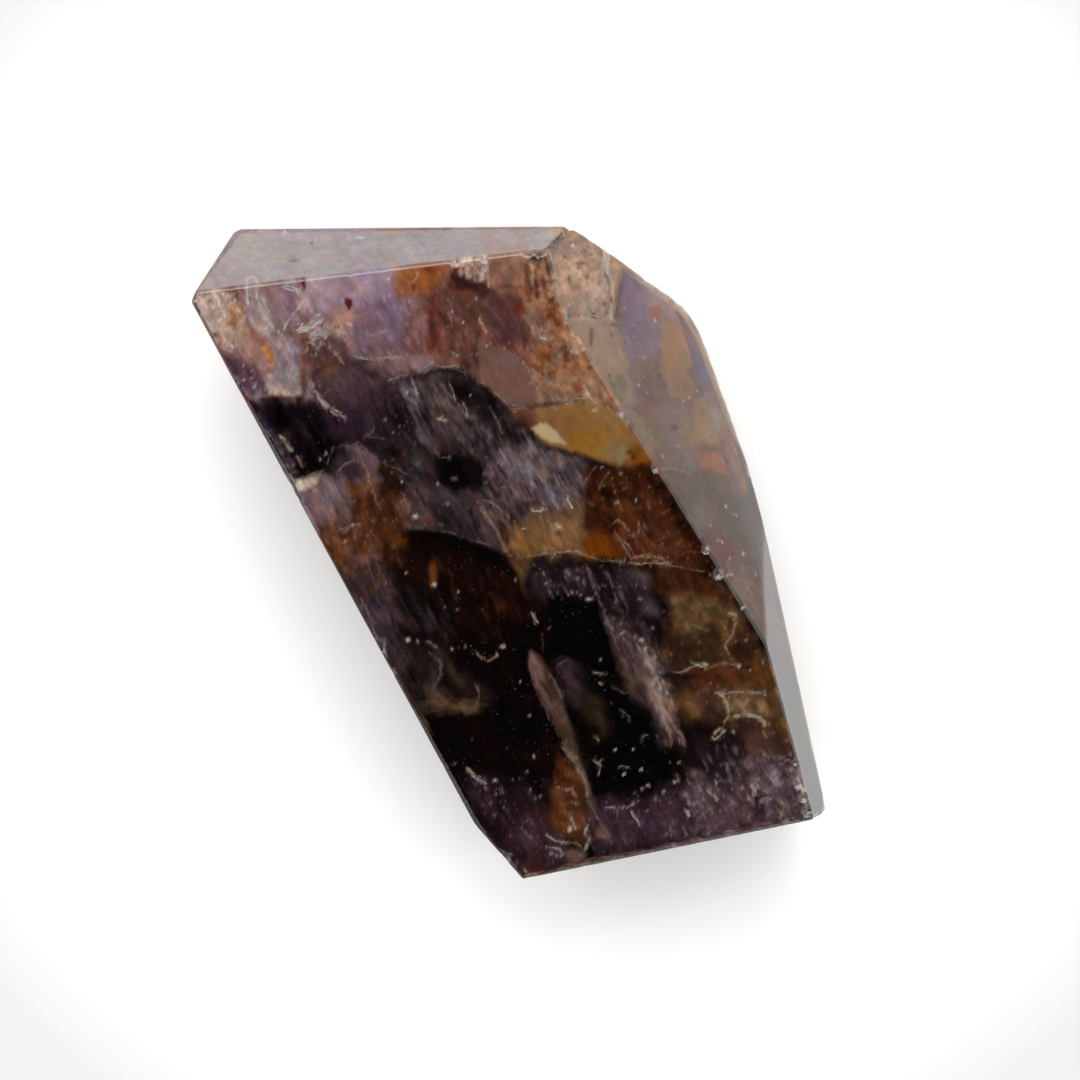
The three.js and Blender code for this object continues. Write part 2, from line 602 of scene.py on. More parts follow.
    def blotches(self, outline, count, colours, seed, small=5, large=15, amount=0.5):
        """Large faint clouds, drawn out along the way the crystal grew."""
        def draw(place, chance):
            size = chance.uniform(small, large)
            colour = colours[chance.randrange(len(colours))]
            turn = 60 + chance.gauss(0, 14)
            strength = amount * chance.uniform(0.3, 1.2)
            self.spot(place, (size, size * chance.uniform(0.35, 0.7)), colour, turn, strength, 0.9)
        self.scatter(outline, count, draw, seed)

    def crack_or_edge_highlight(self, path, width, colour, seed):
        """A healed crack, drawn as a core line with short fibres and specks beside it; the painted
        edge highlights are drawn the same way.
        """
        self.line(path, width * 0.7, colour, 0.7)
        chance = random.Random(seed)
        for a, b in zip(path, path[1:]):
            length = math.dist(a, b)
            way = ((b[0] - a[0]) / length, (b[1] - a[1]) / length)
            for _ in range(round(0.22 * length * min(width, 5))):
                along, off = chance.uniform(0, length), chance.gauss(0, 0.7 * width)
                middle = (a[0] + along * way[0] - off * way[1], a[1] + along * way[1] + off * way[0])
                turn = chance.gauss(0, 0.5)
                reach = chance.uniform(0.6, 2.6)
                du = reach * (way[0] - turn * way[1])
                dv = reach * (way[1] + turn * way[0])
                ends = [(middle[0] - du, middle[1] - dv), (middle[0] + du, middle[1] + dv)]
                self.line(ends, chance.uniform(0.4, 1.3), colour, chance.uniform(0.2, 0.7), 1.0)


# The stone's zones, each as Canvas.area draws it: an outline in photo pixels, a colour, how
# soft its edge is, and its marks. Later ones lie over earlier ones.

def area(*drawn, **looks):
    """One row of a table of areas."""
    return drawn, looks


# The dark body of the stone under the main face
BASE_AREAS = [
    area([(150, 270), (600, 230), (840, 900), (480, 900)], CHAR, veil=0.25, mottle=0.5, fleck=0.1,
         depth=1.2),
    area([(238, 400), (300, 400), (345, 418), (372, 408), (376, 446), (330, 470), (296, 478),
          (275, 480), (235, 425)], (14, 9, 13), depth=1.4),
    area([(236, 400), (262, 400), (287, 440), (303, 475), (285, 480), (262, 450)],
         (66, 53, 64), 10, veil=0.6, depth=0.4, fleck=0.3),
    area([(316, 402), (345, 416), (372, 408), (374, 436), (335, 440), (318, 425)],
         (42, 25, 36), 10),
    area([(300, 418), (322, 422), (333, 445), (326, 472), (300, 474), (288, 445)], BLACK, 8),
    area([(345, 374), (400, 380), (432, 372), (442, 400), (432, 432), (400, 440),
          (372, 430), (374, 405), (352, 396)], DUSK, 12, veil=0.5, depth=1.0),
    area([(405, 382), (455, 374), (475, 395), (480, 430), (450, 442), (422, 430)],
         (66, 54, 50), 14, veil=0.7, mottle=0.8, depth=0.8),
    area([(380, 425), (430, 430), (445, 460), (470, 492), (508, 556), (455, 536),
          (405, 530), (392, 500), (384, 470)], (42, 28, 30), 14, veil=0.6, depth=0.8),
    area([(438, 458), (470, 450), (483, 470), (485, 488), (458, 491), (440, 486)], BLACK, 6,
         depth=1.6, veil=0.1),
    area([(438, 380), (470, 388), (506, 410), (522, 442), (498, 442), (476, 412),
          (455, 400)], BLACK, 8, depth=1.5, veil=0.1),
    area([(500, 405), (520, 425), (545, 448), (582, 460), (592, 482), (580, 520),
          (545, 520), (500, 500), (478, 480), (488, 445)], VEIL_GREY, 14, veil=0.9,
         depth=0.5, mottle=0.7),
    area([(478, 498), (500, 480), (532, 486), (560, 500), (520, 523), (500, 546)],
         (80, 62, 68), 10, veil=0.4, depth=0.5),
    area([(398, 488), (470, 492), (500, 528), (508, 556), (455, 535), (405, 530)],
         (64, 48, 48), 10, veil=0.4, depth=0.6),
]

# The deepest zone, under the long golden edge
DEEP_AREAS = [
    area([(316, 545), (360, 580), (403, 531), (430, 530), (455, 535), (508, 557),
          (555, 554), (580, 554), (620, 563), (660, 565), (700, 568), (725, 578),
          (780, 660), (830, 900), (480, 900)], (9, 4, 4), 4, firm=True, depth=2.2,
         veil=0.12, mottle=0.6, fleck=0.15),
    area([(385, 532), (405, 532), (450, 546), (500, 570), (540, 600), (522, 640),
          (440, 620), (400, 590)], (22, 8, 6), 12),
    area([(508, 558), (532, 557), (529, 575), (526, 594), (515, 580)], (84, 58, 32), 3,
         depth=1.4, iron=0.3),
    area([(530, 558), (600, 560), (600, 602), (550, 602), (528, 592)], (30, 20, 25), 10,
         veil=0.8, depth=1.6),
    area([(551, 601), (597, 600), (612, 650), (618, 674), (585, 664), (560, 656),
          (551, 650)], BLACK, 4, depth=3.0, veil=0),
    area([(597, 563), (640, 566), (668, 600), (662, 640), (628, 640), (605, 610)],
         (20, 11, 17), 10, veil=0.4),
    area([(325, 560), (385, 563), (400, 592), (450, 600), (446, 640), (415, 644),
          (395, 652), (380, 655), (345, 600)], (58, 43, 47), 14, veil=0.7, depth=1.2),
    area([(343, 590), (360, 590), (380, 625), (394, 655), (400, 690), (380, 665)],
         (92, 74, 84), 8, veil=0.8, depth=0.6),
    area([(388, 655), (415, 648), (442, 655), (440, 696), (410, 702), (395, 690)],
         (58, 46, 40), 8, veil=0.4, depth=1.4),
    area([(404, 692), (432, 697), (480, 698), (478, 711), (430, 716), (412, 714)],
         (80, 60, 42), 4, depth=1.2),
    area([(405, 714), (480, 712), (500, 762), (440, 768)], (16, 6, 5), 14),
    area([(440, 768), (490, 782), (545, 778), (562, 800), (562, 874), (523, 885),
          (470, 825)], (31, 18, 23), 14, veil=0.35, depth=1.4),
    area([(530, 800), (560, 810), (560, 872), (520, 878), (500, 850)], (50, 30, 34), 12,
         veil=0.3, depth=1.0),
    area([(549, 740), (562, 752), (576, 775), (588, 800), (591, 835), (583, 850),
          (560, 842), (546, 830), (551, 790)], (76, 40, 18), 4, iron=0.5, depth=1.0),
    area([(563, 849), (585, 850), (585, 872), (566, 873)], (120, 90, 70), 4, depth=0.4),
    area([(540, 846), (563, 846), (566, 873), (542, 874)], (70, 46, 44), 6, depth=0.5),
    area([(590, 800), (640, 793), (700, 782), (708, 852), (592, 870)], (52, 35, 42), 12,
         veil=0.5, depth=1.0),
    area([(692, 775), (760, 774), (760, 834), (702, 847)], MAUVE, 12, veil=0.5, depth=0.7,
         fleck=0.2),
    area([(755, 757), (800, 760), (808, 822), (757, 834)], GREY_MAUVE, 10, veil=0.8,
         mottle=1.0, depth=0.6, fleck=0.3),
    area([(600, 674), (640, 705), (662, 745), (675, 775), (640, 792), (600, 790),
          (583, 742)], BLACK, 8, veil=0.05, depth=2.6),
    area([(556, 658), (575, 656), (590, 690), (580, 712), (566, 700)], (50, 37, 42), 10,
         veil=0.4, depth=1.8),
    area([(582, 690), (608, 705), (610, 735), (596, 742), (584, 722)], (42, 30, 20), 10,
         depth=1.8),
    area([(528, 648), (542, 655), (551, 672), (564, 702), (573, 732), (582, 762),
          (594, 797), (612, 838), (596, 838), (586, 795), (568, 753), (548, 716),
          (536, 690), (528, 668)], (98, 74, 63), 4, firm=True, depth=1.0, mottle=0.4),
    area([(530, 652), (541, 656), (551, 674), (562, 700), (552, 708), (537, 688),
          (530, 668)], (128, 98, 86), 5, firm=True),
    area([(560, 715), (574, 735), (582, 765), (572, 762), (560, 738)], (66, 50, 38), 6),
    area([(597, 606), (622, 612), (650, 640), (668, 680), (682, 747), (664, 748),
          (640, 705), (618, 668)], (64, 49, 50), 8, veil=0.9, depth=1.0, mottle=0.6),
    area([(618, 668), (642, 672), (650, 702), (632, 700)], (66, 54, 42), 6, veil=0.6),
    area([(646, 662), (660, 664), (674, 700), (683, 745), (671, 744), (651, 703)],
         (150, 124, 110), 6, veil=0.4, depth=0.6, mottle=0.5),
    area([(655, 562), (700, 570), (726, 580), (745, 612), (768, 655), (782, 705),
          (796, 752), (765, 730), (728, 722), (690, 725), (668, 700), (660, 650),
          (668, 605)], OLIVE, 8, depth=0.9, mottle=0.9, iron=0.15),
    area([(640, 566), (700, 570), (728, 590), (732, 605), (690, 592), (660, 598)],
         (58, 30, 16), 10, iron=0.3),
    area([(672, 600), (715, 596), (722, 620), (700, 628), (678, 618)], (96, 72, 42), 12),
    area([(664, 632), (716, 636), (713, 664), (668, 668)], (40, 25, 17), 8, depth=1.3),
    area([(668, 669), (700, 672), (698, 690), (670, 690)], (28, 17, 12), 8, depth=1.4),
    area([(690, 668), (750, 668), (752, 690), (692, 692)], (66, 36, 20), 6),
    area([(745, 662), (772, 664), (780, 692), (752, 690)], (92, 54, 18), 8, iron=0.3),
    area([(730, 642), (742, 637), (757, 645), (754, 660), (738, 662), (730, 653)],
         (46, 26, 18), 5, depth=1.2),
    area([(696, 696), (718, 694), (728, 708), (722, 722), (700, 720)], (64, 42, 34), 5),
    area([(731, 696), (765, 694), (768, 716), (733, 716)], (124, 102, 76), 6),
    area([(762, 694), (779, 694), (792, 742), (768, 727)], (114, 80, 48), 6),
    area([(688, 728), (735, 722), (740, 770), (722, 777), (690, 777), (680, 742)],
         (21, 12, 13), 12, depth=1.8, veil=0.4),
    area([(736, 729), (765, 725), (792, 748), (797, 762), (762, 760), (756, 782),
          (738, 772)], DOME_BROWN, 6, depth=0.8, mottle=0.2),
]

# The golden patch, the honey-coloured shelf and the iron stains
MIDDLE_AREAS = [
    area([(508, 408), (525, 408), (545, 406), (560, 403), (590, 400), (608, 406),
          (624, 420), (644, 446), (660, 475), (645, 473), (628, 469), (610, 466),
          (580, 455), (545, 445), (520, 425)], GOLD, 2.5, firm=True, depth=0.25, veil=0,
         mottle=0.3, fleck=0),
    area([(545, 408), (562, 406), (572, 430), (562, 442), (548, 424)], (122, 82, 50), 8),
    area([(565, 434), (603, 424), (612, 444), (590, 455), (568, 447)], BRIGHT_GOLD, 10),
    area([(598, 448), (626, 440), (628, 468), (612, 466)], MOSS, 8),
    area([(595, 408), (620, 418), (632, 440), (610, 438)], (134, 98, 56), 10),
    area([(628, 446), (640, 438), (652, 458), (659, 474), (645, 474), (630, 471),
          (622, 463)], AMBER, 4, iron=0.3, depth=0.3),
    area([(509, 407), (531, 410), (537, 424), (529, 431), (517, 420)], (112, 64, 47), 4),
    area([(531, 429), (541, 424), (547, 424), (556, 432), (565, 444), (552, 442),
          (540, 437)], CREAM, 2, firm=True, mottle=0),
    area([(583, 468), (610, 467), (656, 474), (672, 497), (690, 530), (706, 550),
          (722, 574), (700, 568), (660, 565), (620, 562), (614, 536), (590, 526),
          (580, 500)], (38, 15, 5), 6, depth=0.9, mottle=0.8, iron=0.2, veil=0.1),
    area([(618, 500), (660, 505), (690, 540), (706, 553), (690, 567), (640, 563),
          (620, 545)], COCOA, 12, mottle=1.0, fleck=0.15),
    area([(645, 474), (660, 478), (690, 528), (705, 550), (690, 560), (668, 520)],
         (54, 26, 12), 8),
    area([(478, 513), (492, 506), (508, 524), (540, 514), (576, 506), (590, 530),
          (583, 554), (535, 557), (508, 556)], HONEY, 8, veil=0.35, depth=0.7),
    area([(508, 535), (540, 528), (560, 550), (512, 555)], (126, 84, 44), 8),
    area([(584, 533), (600, 528), (614, 534), (618, 559), (600, 560), (583, 554)], ORANGE,
         5, depth=0.7, mottle=0.2),
    area([(296, 480), (322, 475), (336, 478), (352, 500), (358, 523), (330, 533),
          (314, 528), (290, 490)], MILK, 5, veil=0.5, depth=0.3, mottle=0.3),
    area([(330, 466), (345, 444), (362, 442), (380, 465), (376, 500), (352, 500),
          (336, 486)], (88, 70, 72), 6, veil=0.5, depth=0.5),
    area([(340, 468), (357, 462), (364, 476), (354, 486), (342, 482)], (50, 36, 38), 5),
    area([(293, 491), (296, 479), (322, 473), (318, 483), (306, 491)], (196, 178, 152), 3,
         firm=True, fleck=0.5, depth=0.1),
    area([(312, 526), (352, 524), (362, 500), (352, 490), (374, 486), (405, 500),
          (405, 545), (388, 562), (345, 570), (330, 560)], (78, 42, 24), 9, iron=0.4, depth=0.6,
         mottle=0.8),
    area([(317, 530), (350, 536), (346, 572), (332, 566)], (116, 66, 28), 8, iron=0.7),
    area([(353, 490), (366, 492), (364, 520), (356, 518)], (122, 66, 20), 5),
    area([(380, 468), (404, 480), (404, 545), (388, 560), (380, 520)], (52, 27, 13), 8,
         mottle=0.8),
    area([(388, 532), (405, 532), (404, 548), (392, 548)], (104, 58, 14), 6),
]

# The pale, many-coloured zone on the tip's side of the main face
UPPER_AREAS = [
    area([(170, 296), (280, 276), (548, 240), (580, 320), (612, 385), (664, 480),
          (645, 452), (625, 420), (608, 406), (590, 400), (560, 402), (525, 407),
          (507, 407), (490, 390), (475, 379), (460, 369), (437, 367), (400, 377),
          (388, 380), (366, 368), (345, 360), (322, 366), (308, 380), (302, 398), (240, 399),
          (225, 380)], MAUVE_BROWN, 4, firm=True, depth=0.1, veil=0.15, mottle=0.6,
         fleck=0.1),
    area([(300, 350), (345, 344), (396, 352), (392, 396), (350, 404), (308, 398)],
         (84, 60, 66), 16, 0.7, depth=0.6, veil=0.4),
    area([(352, 364), (400, 359), (437, 352), (437, 367), (400, 377), (388, 380),
          (366, 376)], (124, 94, 92), 3, depth=0.2),
    # The pale left corner, flecked and mottled: partly painted light, for the floor seen through the
    # thin clear corner.
    area([(180, 297), (222, 289), (230, 300), (216, 306), (222, 345), (213, 348)], (178, 162, 156), 5,
         fleck=0.6, mottle=0.8),
    area([(214, 306), (240, 300), (251, 310), (245, 345), (222, 346)], (168, 138, 120), 6,
         fleck=0.2),
    area([(236, 290), (262, 286), (262, 335), (248, 340)], (120, 84, 78), 6),
    area([(258, 285), (304, 282), (301, 320), (283, 331), (262, 312)], (142, 119, 121), 5),
    area([(220, 345), (262, 338), (300, 335), (308, 395), (298, 400), (240, 400),
          (222, 368)], PINK_BROWN, 6, mottle=0.9),
    area([(214, 350), (240, 354), (266, 382), (262, 400), (236, 400)], PLUM, 7, mottle=0.9,
         fleck=0.3, depth=0.3),
    area([(280, 345), (303, 345), (307, 397), (284, 398)], ROSE, 5),
    area([(300, 262), (345, 262), (402, 256), (407, 300), (400, 345), (350, 350),
          (318, 345), (300, 322)], LILAC, 6, mottle=0.5),
    area([(300, 262), (348, 262), (345, 300), (330, 314), (304, 312)], PALE_LILAC, 10),
    area([(345, 272), (398, 268), (396, 308), (352, 312)], (136, 111, 127), 12),
    area([(330, 315), (350, 314), (349, 331), (332, 333)], (142, 96, 78), 5),
    area([(306, 354), (340, 352), (342, 378), (312, 380)], (108, 65, 56), 6),
    area([(345, 345), (398, 345), (398, 358), (350, 362)], (120, 92, 96), 8),
    area([(395, 266), (420, 262), (440, 266), (437, 285), (425, 299), (399, 300)], RUST, 6,
         iron=0.5),
    area([(400, 300), (425, 298), (426, 352), (400, 350)], (122, 88, 84), 8),
    area([(424, 298), (441, 298), (444, 352), (425, 353)], (106, 58, 48), 6),
    area([(440, 262), (456, 262), (455, 292), (441, 293)], (124, 76, 56), 5),
    area([(449, 270), (470, 266), (478, 292), (468, 300), (450, 298)], UMBER, 5, depth=0.4),
    area([(455, 256), (489, 254), (487, 282), (472, 285), (458, 271)], (168, 138, 118), 4,
         fleck=0.8, mottle=1.0),
    area([(488, 255), (527, 251), (526, 287), (500, 293), (489, 290)], SAND_BROWN, 5,
         firm=True),
    area([(440, 296), (492, 294), (490, 352), (440, 354)], MAUVE_BROWN, 6, mottle=0.8),
    area([(490, 309), (524, 305), (526, 346), (512, 350), (492, 344)], PURPLE_BROWN, 6),
    area([(524, 250), (549, 245), (572, 318), (548, 345), (530, 346), (524, 300)],
         (152, 112, 86), 5, mottle=0.9),
    area([(530, 345), (548, 340), (574, 322), (608, 385), (626, 420), (610, 406),
          (590, 400), (560, 402), (536, 404), (532, 372)], UNDER_TAN, 5, mottle=1.0,
         iron=0.3),
    area([(478, 348), (500, 345), (512, 352), (524, 362), (533, 376), (536, 398),
          (522, 407), (507, 407), (490, 390), (478, 378)], SHELL, 4, firm=True,
         mottle=0.15, depth=0.2),
]

# Seen through the tip face
TIP_AREAS = [
    area([(100, 330), (600, 330), (600, 180), (100, 180)], SILVER, mottle=0.15, veil=0.1),
    area([(485, 270), (490, 200), (600, 200), (600, 262)], SILVER_TAN, 26),
    area([(548, 250), (553, 210), (590, 210), (590, 250)], (181, 140, 110), 12, mottle=0.5),
    area([(320, 290), (350, 200), (440, 200), (420, 280)], (175, 163, 163), 30),
]

# The natural crust
CRUST_AREAS = [
    area([(500, 180), (660, 180), (640, 340), (540, 340)], CRUST_TAN, mottle=1.0, iron=0.2),
]

# Seen through the shoulder face
SHOULDER_AREAS = [
    area([(500, 180), (800, 180), (800, 700), (600, 700)], SHOULDER_GREY, mottle=0.25),
    area([(560, 310), (640, 350), (668, 440), (655, 480), (600, 385)], (130, 107, 84), 26),
    area([(556, 312), (610, 312), (622, 345), (640, 400), (622, 408), (590, 366)],
         (156, 130, 110), 6),
    area([(596, 372), (622, 370), (652, 440), (650, 476), (620, 420)], (132, 118, 100), 8),
    area([(614, 240), (650, 262), (664, 300), (664, 410), (640, 400), (622, 344), (612, 300)],
         (128, 106, 112), 6),
    area([(616, 268), (648, 276), (656, 330), (652, 380), (634, 360), (620, 310)],
         (124, 104, 118), 8),
    area([(634, 360), (662, 350), (666, 410), (650, 408)], (112, 90, 88), 8),
    area([(664, 326), (682, 318), (692, 350), (694, 398), (670, 400), (662, 360)],
         (150, 114, 82), 4),
    area([(670, 328), (686, 328), (690, 352), (672, 356)], (162, 118, 80), 5),
    area([(640, 280), (672, 292), (684, 322), (664, 320), (646, 300)], (146, 124, 118), 8),
    area([(655, 405), (690, 402), (695, 470), (665, 470)], (128, 110, 104), 8),
    area([(690, 400), (706, 400), (720, 442), (694, 440)], (152, 122, 96), 5),
    area([(696, 446), (722, 452), (728, 477), (706, 477), (698, 464)], (148, 106, 74), 4),
    area([(655, 472), (735, 478), (752, 560), (745, 585), (700, 540)], (110, 99, 94), 10),
    area([(703, 536), (732, 536), (738, 572), (722, 576)], (120, 94, 78), 6),
    area([(728, 585), (766, 580), (768, 660), (748, 624)], (112, 102, 94), 10),
]

# Seen through the flank face
FLANK_AREAS = [
    area([(640, 240), (840, 240), (840, 620), (700, 620)], (142, 122, 112), mottle=0.2),
    area([(684, 326), (708, 326), (716, 402), (700, 402)], (140, 122, 130), 5),
    area([(698, 346), (712, 346), (714, 380), (700, 380)], (130, 120, 140), 5),
    area([(702, 398), (724, 398), (734, 440), (716, 440)], (166, 148, 142), 6),
    area([(720, 430), (742, 436), (765, 520), (742, 500)], (154, 132, 118), 6),
    area([(734, 425), (748, 425), (764, 492), (750, 496)], (152, 116, 96), 4),
    area([(728, 492), (770, 492), (770, 600), (748, 560)], (130, 112, 102), 10),
    area([(672, 296), (700, 296), (712, 330), (690, 330)], (156, 128, 110), 6),
]

# Seen through the sliver face
SLIVER_AREAS = [
    area([(740, 480), (880, 480), (880, 880), (740, 880)], SLIVER_GREY, mottle=0.1),
    area([(755, 500), (790, 500), (800, 610), (760, 610)], (190, 174, 170), 30),
    area([(765, 585), (785, 585), (800, 700), (775, 690)], (180, 168, 158), 20),
]

# Smooth patches and firm rims that the streaks don't cross
SMOOTH_AREAS = [
    area([(488, 255), (527, 251), (526, 286), (500, 290), (489, 288)], SAND_BROWN, 3,
         amount=0.8, firm=True),
    area([(480, 349), (500, 346), (512, 353), (524, 363), (533, 377), (536, 397),
          (522, 406), (508, 406), (490, 390), (479, 378)], (112, 80, 72), 4, amount=0.75,
         firm=True),
    area([(444, 298), (476, 290), (486, 310), (478, 330), (458, 326)], (92, 58, 54), 3, 0.6),
    area([(486, 300), (520, 300), (524, 340), (506, 346), (490, 334)], (76, 46, 46), 3, 0.7),
    area([(316, 366), (345, 362), (388, 380), (384, 400), (372, 412), (345, 418), (326, 404),
          (310, 390)], (66, 47, 56), 12, 0.6),
    area([(345, 402), (374, 404), (376, 432), (350, 440), (334, 428)], (40, 27, 38), 9, 0.6),
    area([(398, 268), (418, 264), (438, 266), (436, 284), (424, 298), (402, 300)],
         (148, 80, 36), 3, 0.7),
    area([(242, 288), (258, 285), (264, 310), (278, 330), (270, 338), (254, 330), (246, 316)],
         (174, 158, 158), 2, 0.65),
    area([(262, 290), (280, 284), (294, 292), (296, 308), (280, 324), (266, 314)],
         (126, 97, 107), 2, 0.65),
    area([(308, 276), (392, 267), (396, 298), (360, 306), (320, 300)], (152, 127, 146), 4, 0.5),
    area([(352, 308), (402, 302), (406, 352), (356, 354)], (104, 80, 94), 5, 0.6),
    area([(330, 312), (350, 308), (358, 318), (350, 328), (334, 328)], (172, 114, 84), 2, 0.6),
    area([(304, 342), (344, 336), (350, 362), (338, 380), (312, 380), (303, 360)],
         (74, 46, 42), 3, 0.6),
    area([(315, 362), (338, 358), (340, 373), (320, 376)], (108, 66, 36), 2, 0.6),
    area([(236, 338), (260, 334), (266, 364), (244, 366)], (168, 132, 120), 3, 0.55),
    area([(270, 336), (290, 338), (306, 368), (306, 394), (290, 397), (276, 366)],
         (164, 144, 145), 2, 0.65),
    area([(268, 372), (290, 370), (296, 394), (272, 396)], (188, 165, 156), 2, 0.65),
    area([(222, 360), (256, 368), (264, 392), (240, 394)], (72, 49, 66), 3, 0.65),
    area([(262, 344), (267, 343), (276, 361), (275, 367), (270, 366)], (186, 108, 46), 2,
         amount=0.85, firm=True),
    area([(300, 279), (306, 279), (305, 292), (302, 288)], (84, 28, 20), 1.4, amount=0.9,
         firm=True),
    area([(345, 298), (351, 300), (352, 306), (348, 311), (344, 305)], (74, 22, 15), 1.4,
         amount=0.95, firm=True),
    area([(452, 268), (470, 277), (492, 288), (500, 295), (486, 298), (466, 292), (452, 280)],
         (42, 25, 23), 2, 0.75),
    area([(426, 302), (436, 300), (438, 346), (428, 348)], (78, 38, 32), 2, 0.6),
    area([(531, 429), (541, 424), (547, 424), (556, 432), (565, 444), (552, 442),
          (540, 437)], (206, 172, 124), 2, amount=0.85, firm=True),
    area([(438, 458), (470, 450), (483, 470), (485, 486), (458, 490), (440, 484)],
         BLACK, 3, 0.8),
    area([(440, 382), (470, 390), (505, 412), (520, 440), (500, 440), (478, 412),
          (455, 400)], BLACK, 3, 0.55),
    area([(552, 602), (597, 601), (611, 650), (616, 672), (585, 662), (560, 654),
          (552, 648)], (5, 3, 4), 3, amount=0.9, firm=True),
]

# Specks over them, as Canvas.dots draws them, and where dark streaks run beside the crust
SMOOTH_SPECKS = [
    ([(305, 326), (345, 322), (346, 356), (305, 358)], 80, [WHITE, PALE, (58, 34, 38)], 130,
     0.7, 2.0, 0.8),
    ([(267, 370), (296, 368), (300, 396), (268, 396)], 60, [WHITE, BONE, (146, 120, 120)], 131,
     0.7, 1.9, 0.7),
    ([(222, 358), (262, 364), (264, 394), (236, 394)], 40, [PALE, (112, 88, 104), DUSK], 132,
     0.7, 1.8, 0.7),
    ([(242, 288), (262, 286), (280, 332), (250, 330)], 40, [WHITE, (150, 130, 132)], 133,
     0.6, 1.6, 0.6),
]
CRUST_SIDE = [(525, 252), (541, 251), (546, 300), (526, 302)]

# Which face each table belongs to
ZONE_AREAS = (
    ("main", BASE_AREAS), ("main", DEEP_AREAS), ("main", MIDDLE_AREAS), ("main", UPPER_AREAS),
    ("tip", TIP_AREAS), ("crust", CRUST_AREAS), ("shoulder", SHOULDER_AREAS),
    ("flank", FLANK_AREAS), ("sliver", SLIVER_AREAS),
)


def lay_areas(c, face, areas):
    c.on(face)
    for drawn, looks in areas:
        c.area(*drawn, **looks)


def paint_zones(c):
    """All the zones, without the texture that lies over them."""
    for face, areas in ZONE_AREAS:
        lay_areas(c, face, areas)


# Cracks, rims and veins, and painted highlights along two edges, each with its path, width in px and
# colour.
# All but the last table's also get thin flakes over the zones.

UPPER_VEINS = [
    ([(247, 277), (246, 292), (248, 308)], 3.2, WHITE),
    ([(248, 279), (253, 276), (258, 280)], 2.6, WHITE),
    ([(258, 278), (257, 300), (262, 312), (275, 330), (284, 335)], 3.4, WHITE),
    ([(305, 300), (290, 318), (283, 331)], 2.0, WHITE),
    ([(282, 286), (291, 288), (300, 293)], 3.0, WHITE),
    ([(296, 331), (306, 328), (324, 320)], 5.0, WHITE),
    ([(300, 325), (312, 322), (320, 314)], 2.6, WHITE),
    ([(308, 338), (322, 333), (336, 322)], 3.4, PALE),
    ([(347, 322), (353, 325)], 2.4, WHITE),
    ([(305, 345), (315, 340), (330, 333)], 1.6, PALE),
    ([(310, 332), (320, 340), (318, 350)], 1.4, PALE),
    ([(328, 345), (338, 357), (345, 365)], 1.8, PALE),
    ([(352, 356), (360, 358), (380, 358), (402, 357)], 2.4, PALE),
    ([(385, 342), (392, 357)], 1.5, PALE),
    ([(308, 378), (314, 390), (320, 400), (331, 409), (346, 418)], 5.0, PALE),
    ([(320, 400), (326, 393), (331, 388)], 1.6, DULL),
    ([(388, 380), (400, 377), (425, 371), (437, 367), (450, 367), (465, 372)], 3.0, PALE),
    ([(465, 372), (475, 379), (490, 390), (500, 398), (509, 407)], 2.2, PINKISH),
    ([(508, 407), (525, 407.5), (545, 405), (560, 402), (590, 399), (607, 406)], 3.0, BONE),
    ([(607, 406), (618, 414), (630, 428)], 1.4, PALE),
    ([(250, 397), (272, 396), (304, 398)], 1.8, PINKISH),
    ([(488, 258), (489, 288)], 2.0, PALE),
    ([(478, 318), (488, 333)], 2.4, BONE),
    ([(533, 385), (530, 372), (522, 360)], 1.5, PALE),
    ([(540, 336), (546, 340)], 3.0, WHITE),
    ([(583, 385), (590, 396)], 2.0, WHITE),
    ([(222, 346), (231, 352)], 2.2, WHITE),
    ([(413, 262), (418, 275), (412, 284)], 1.6, PALE),
    ([(560, 345), (572, 352), (590, 350)], 1.5, PALE),
    ([(445, 305), (452, 318), (450, 332)], 1.4, PINKISH),
    ([(355, 330), (372, 335), (390, 330)], 1.3, PALE),
    ([(270, 340), (276, 352), (272, 368)], 1.6, PALE),
]
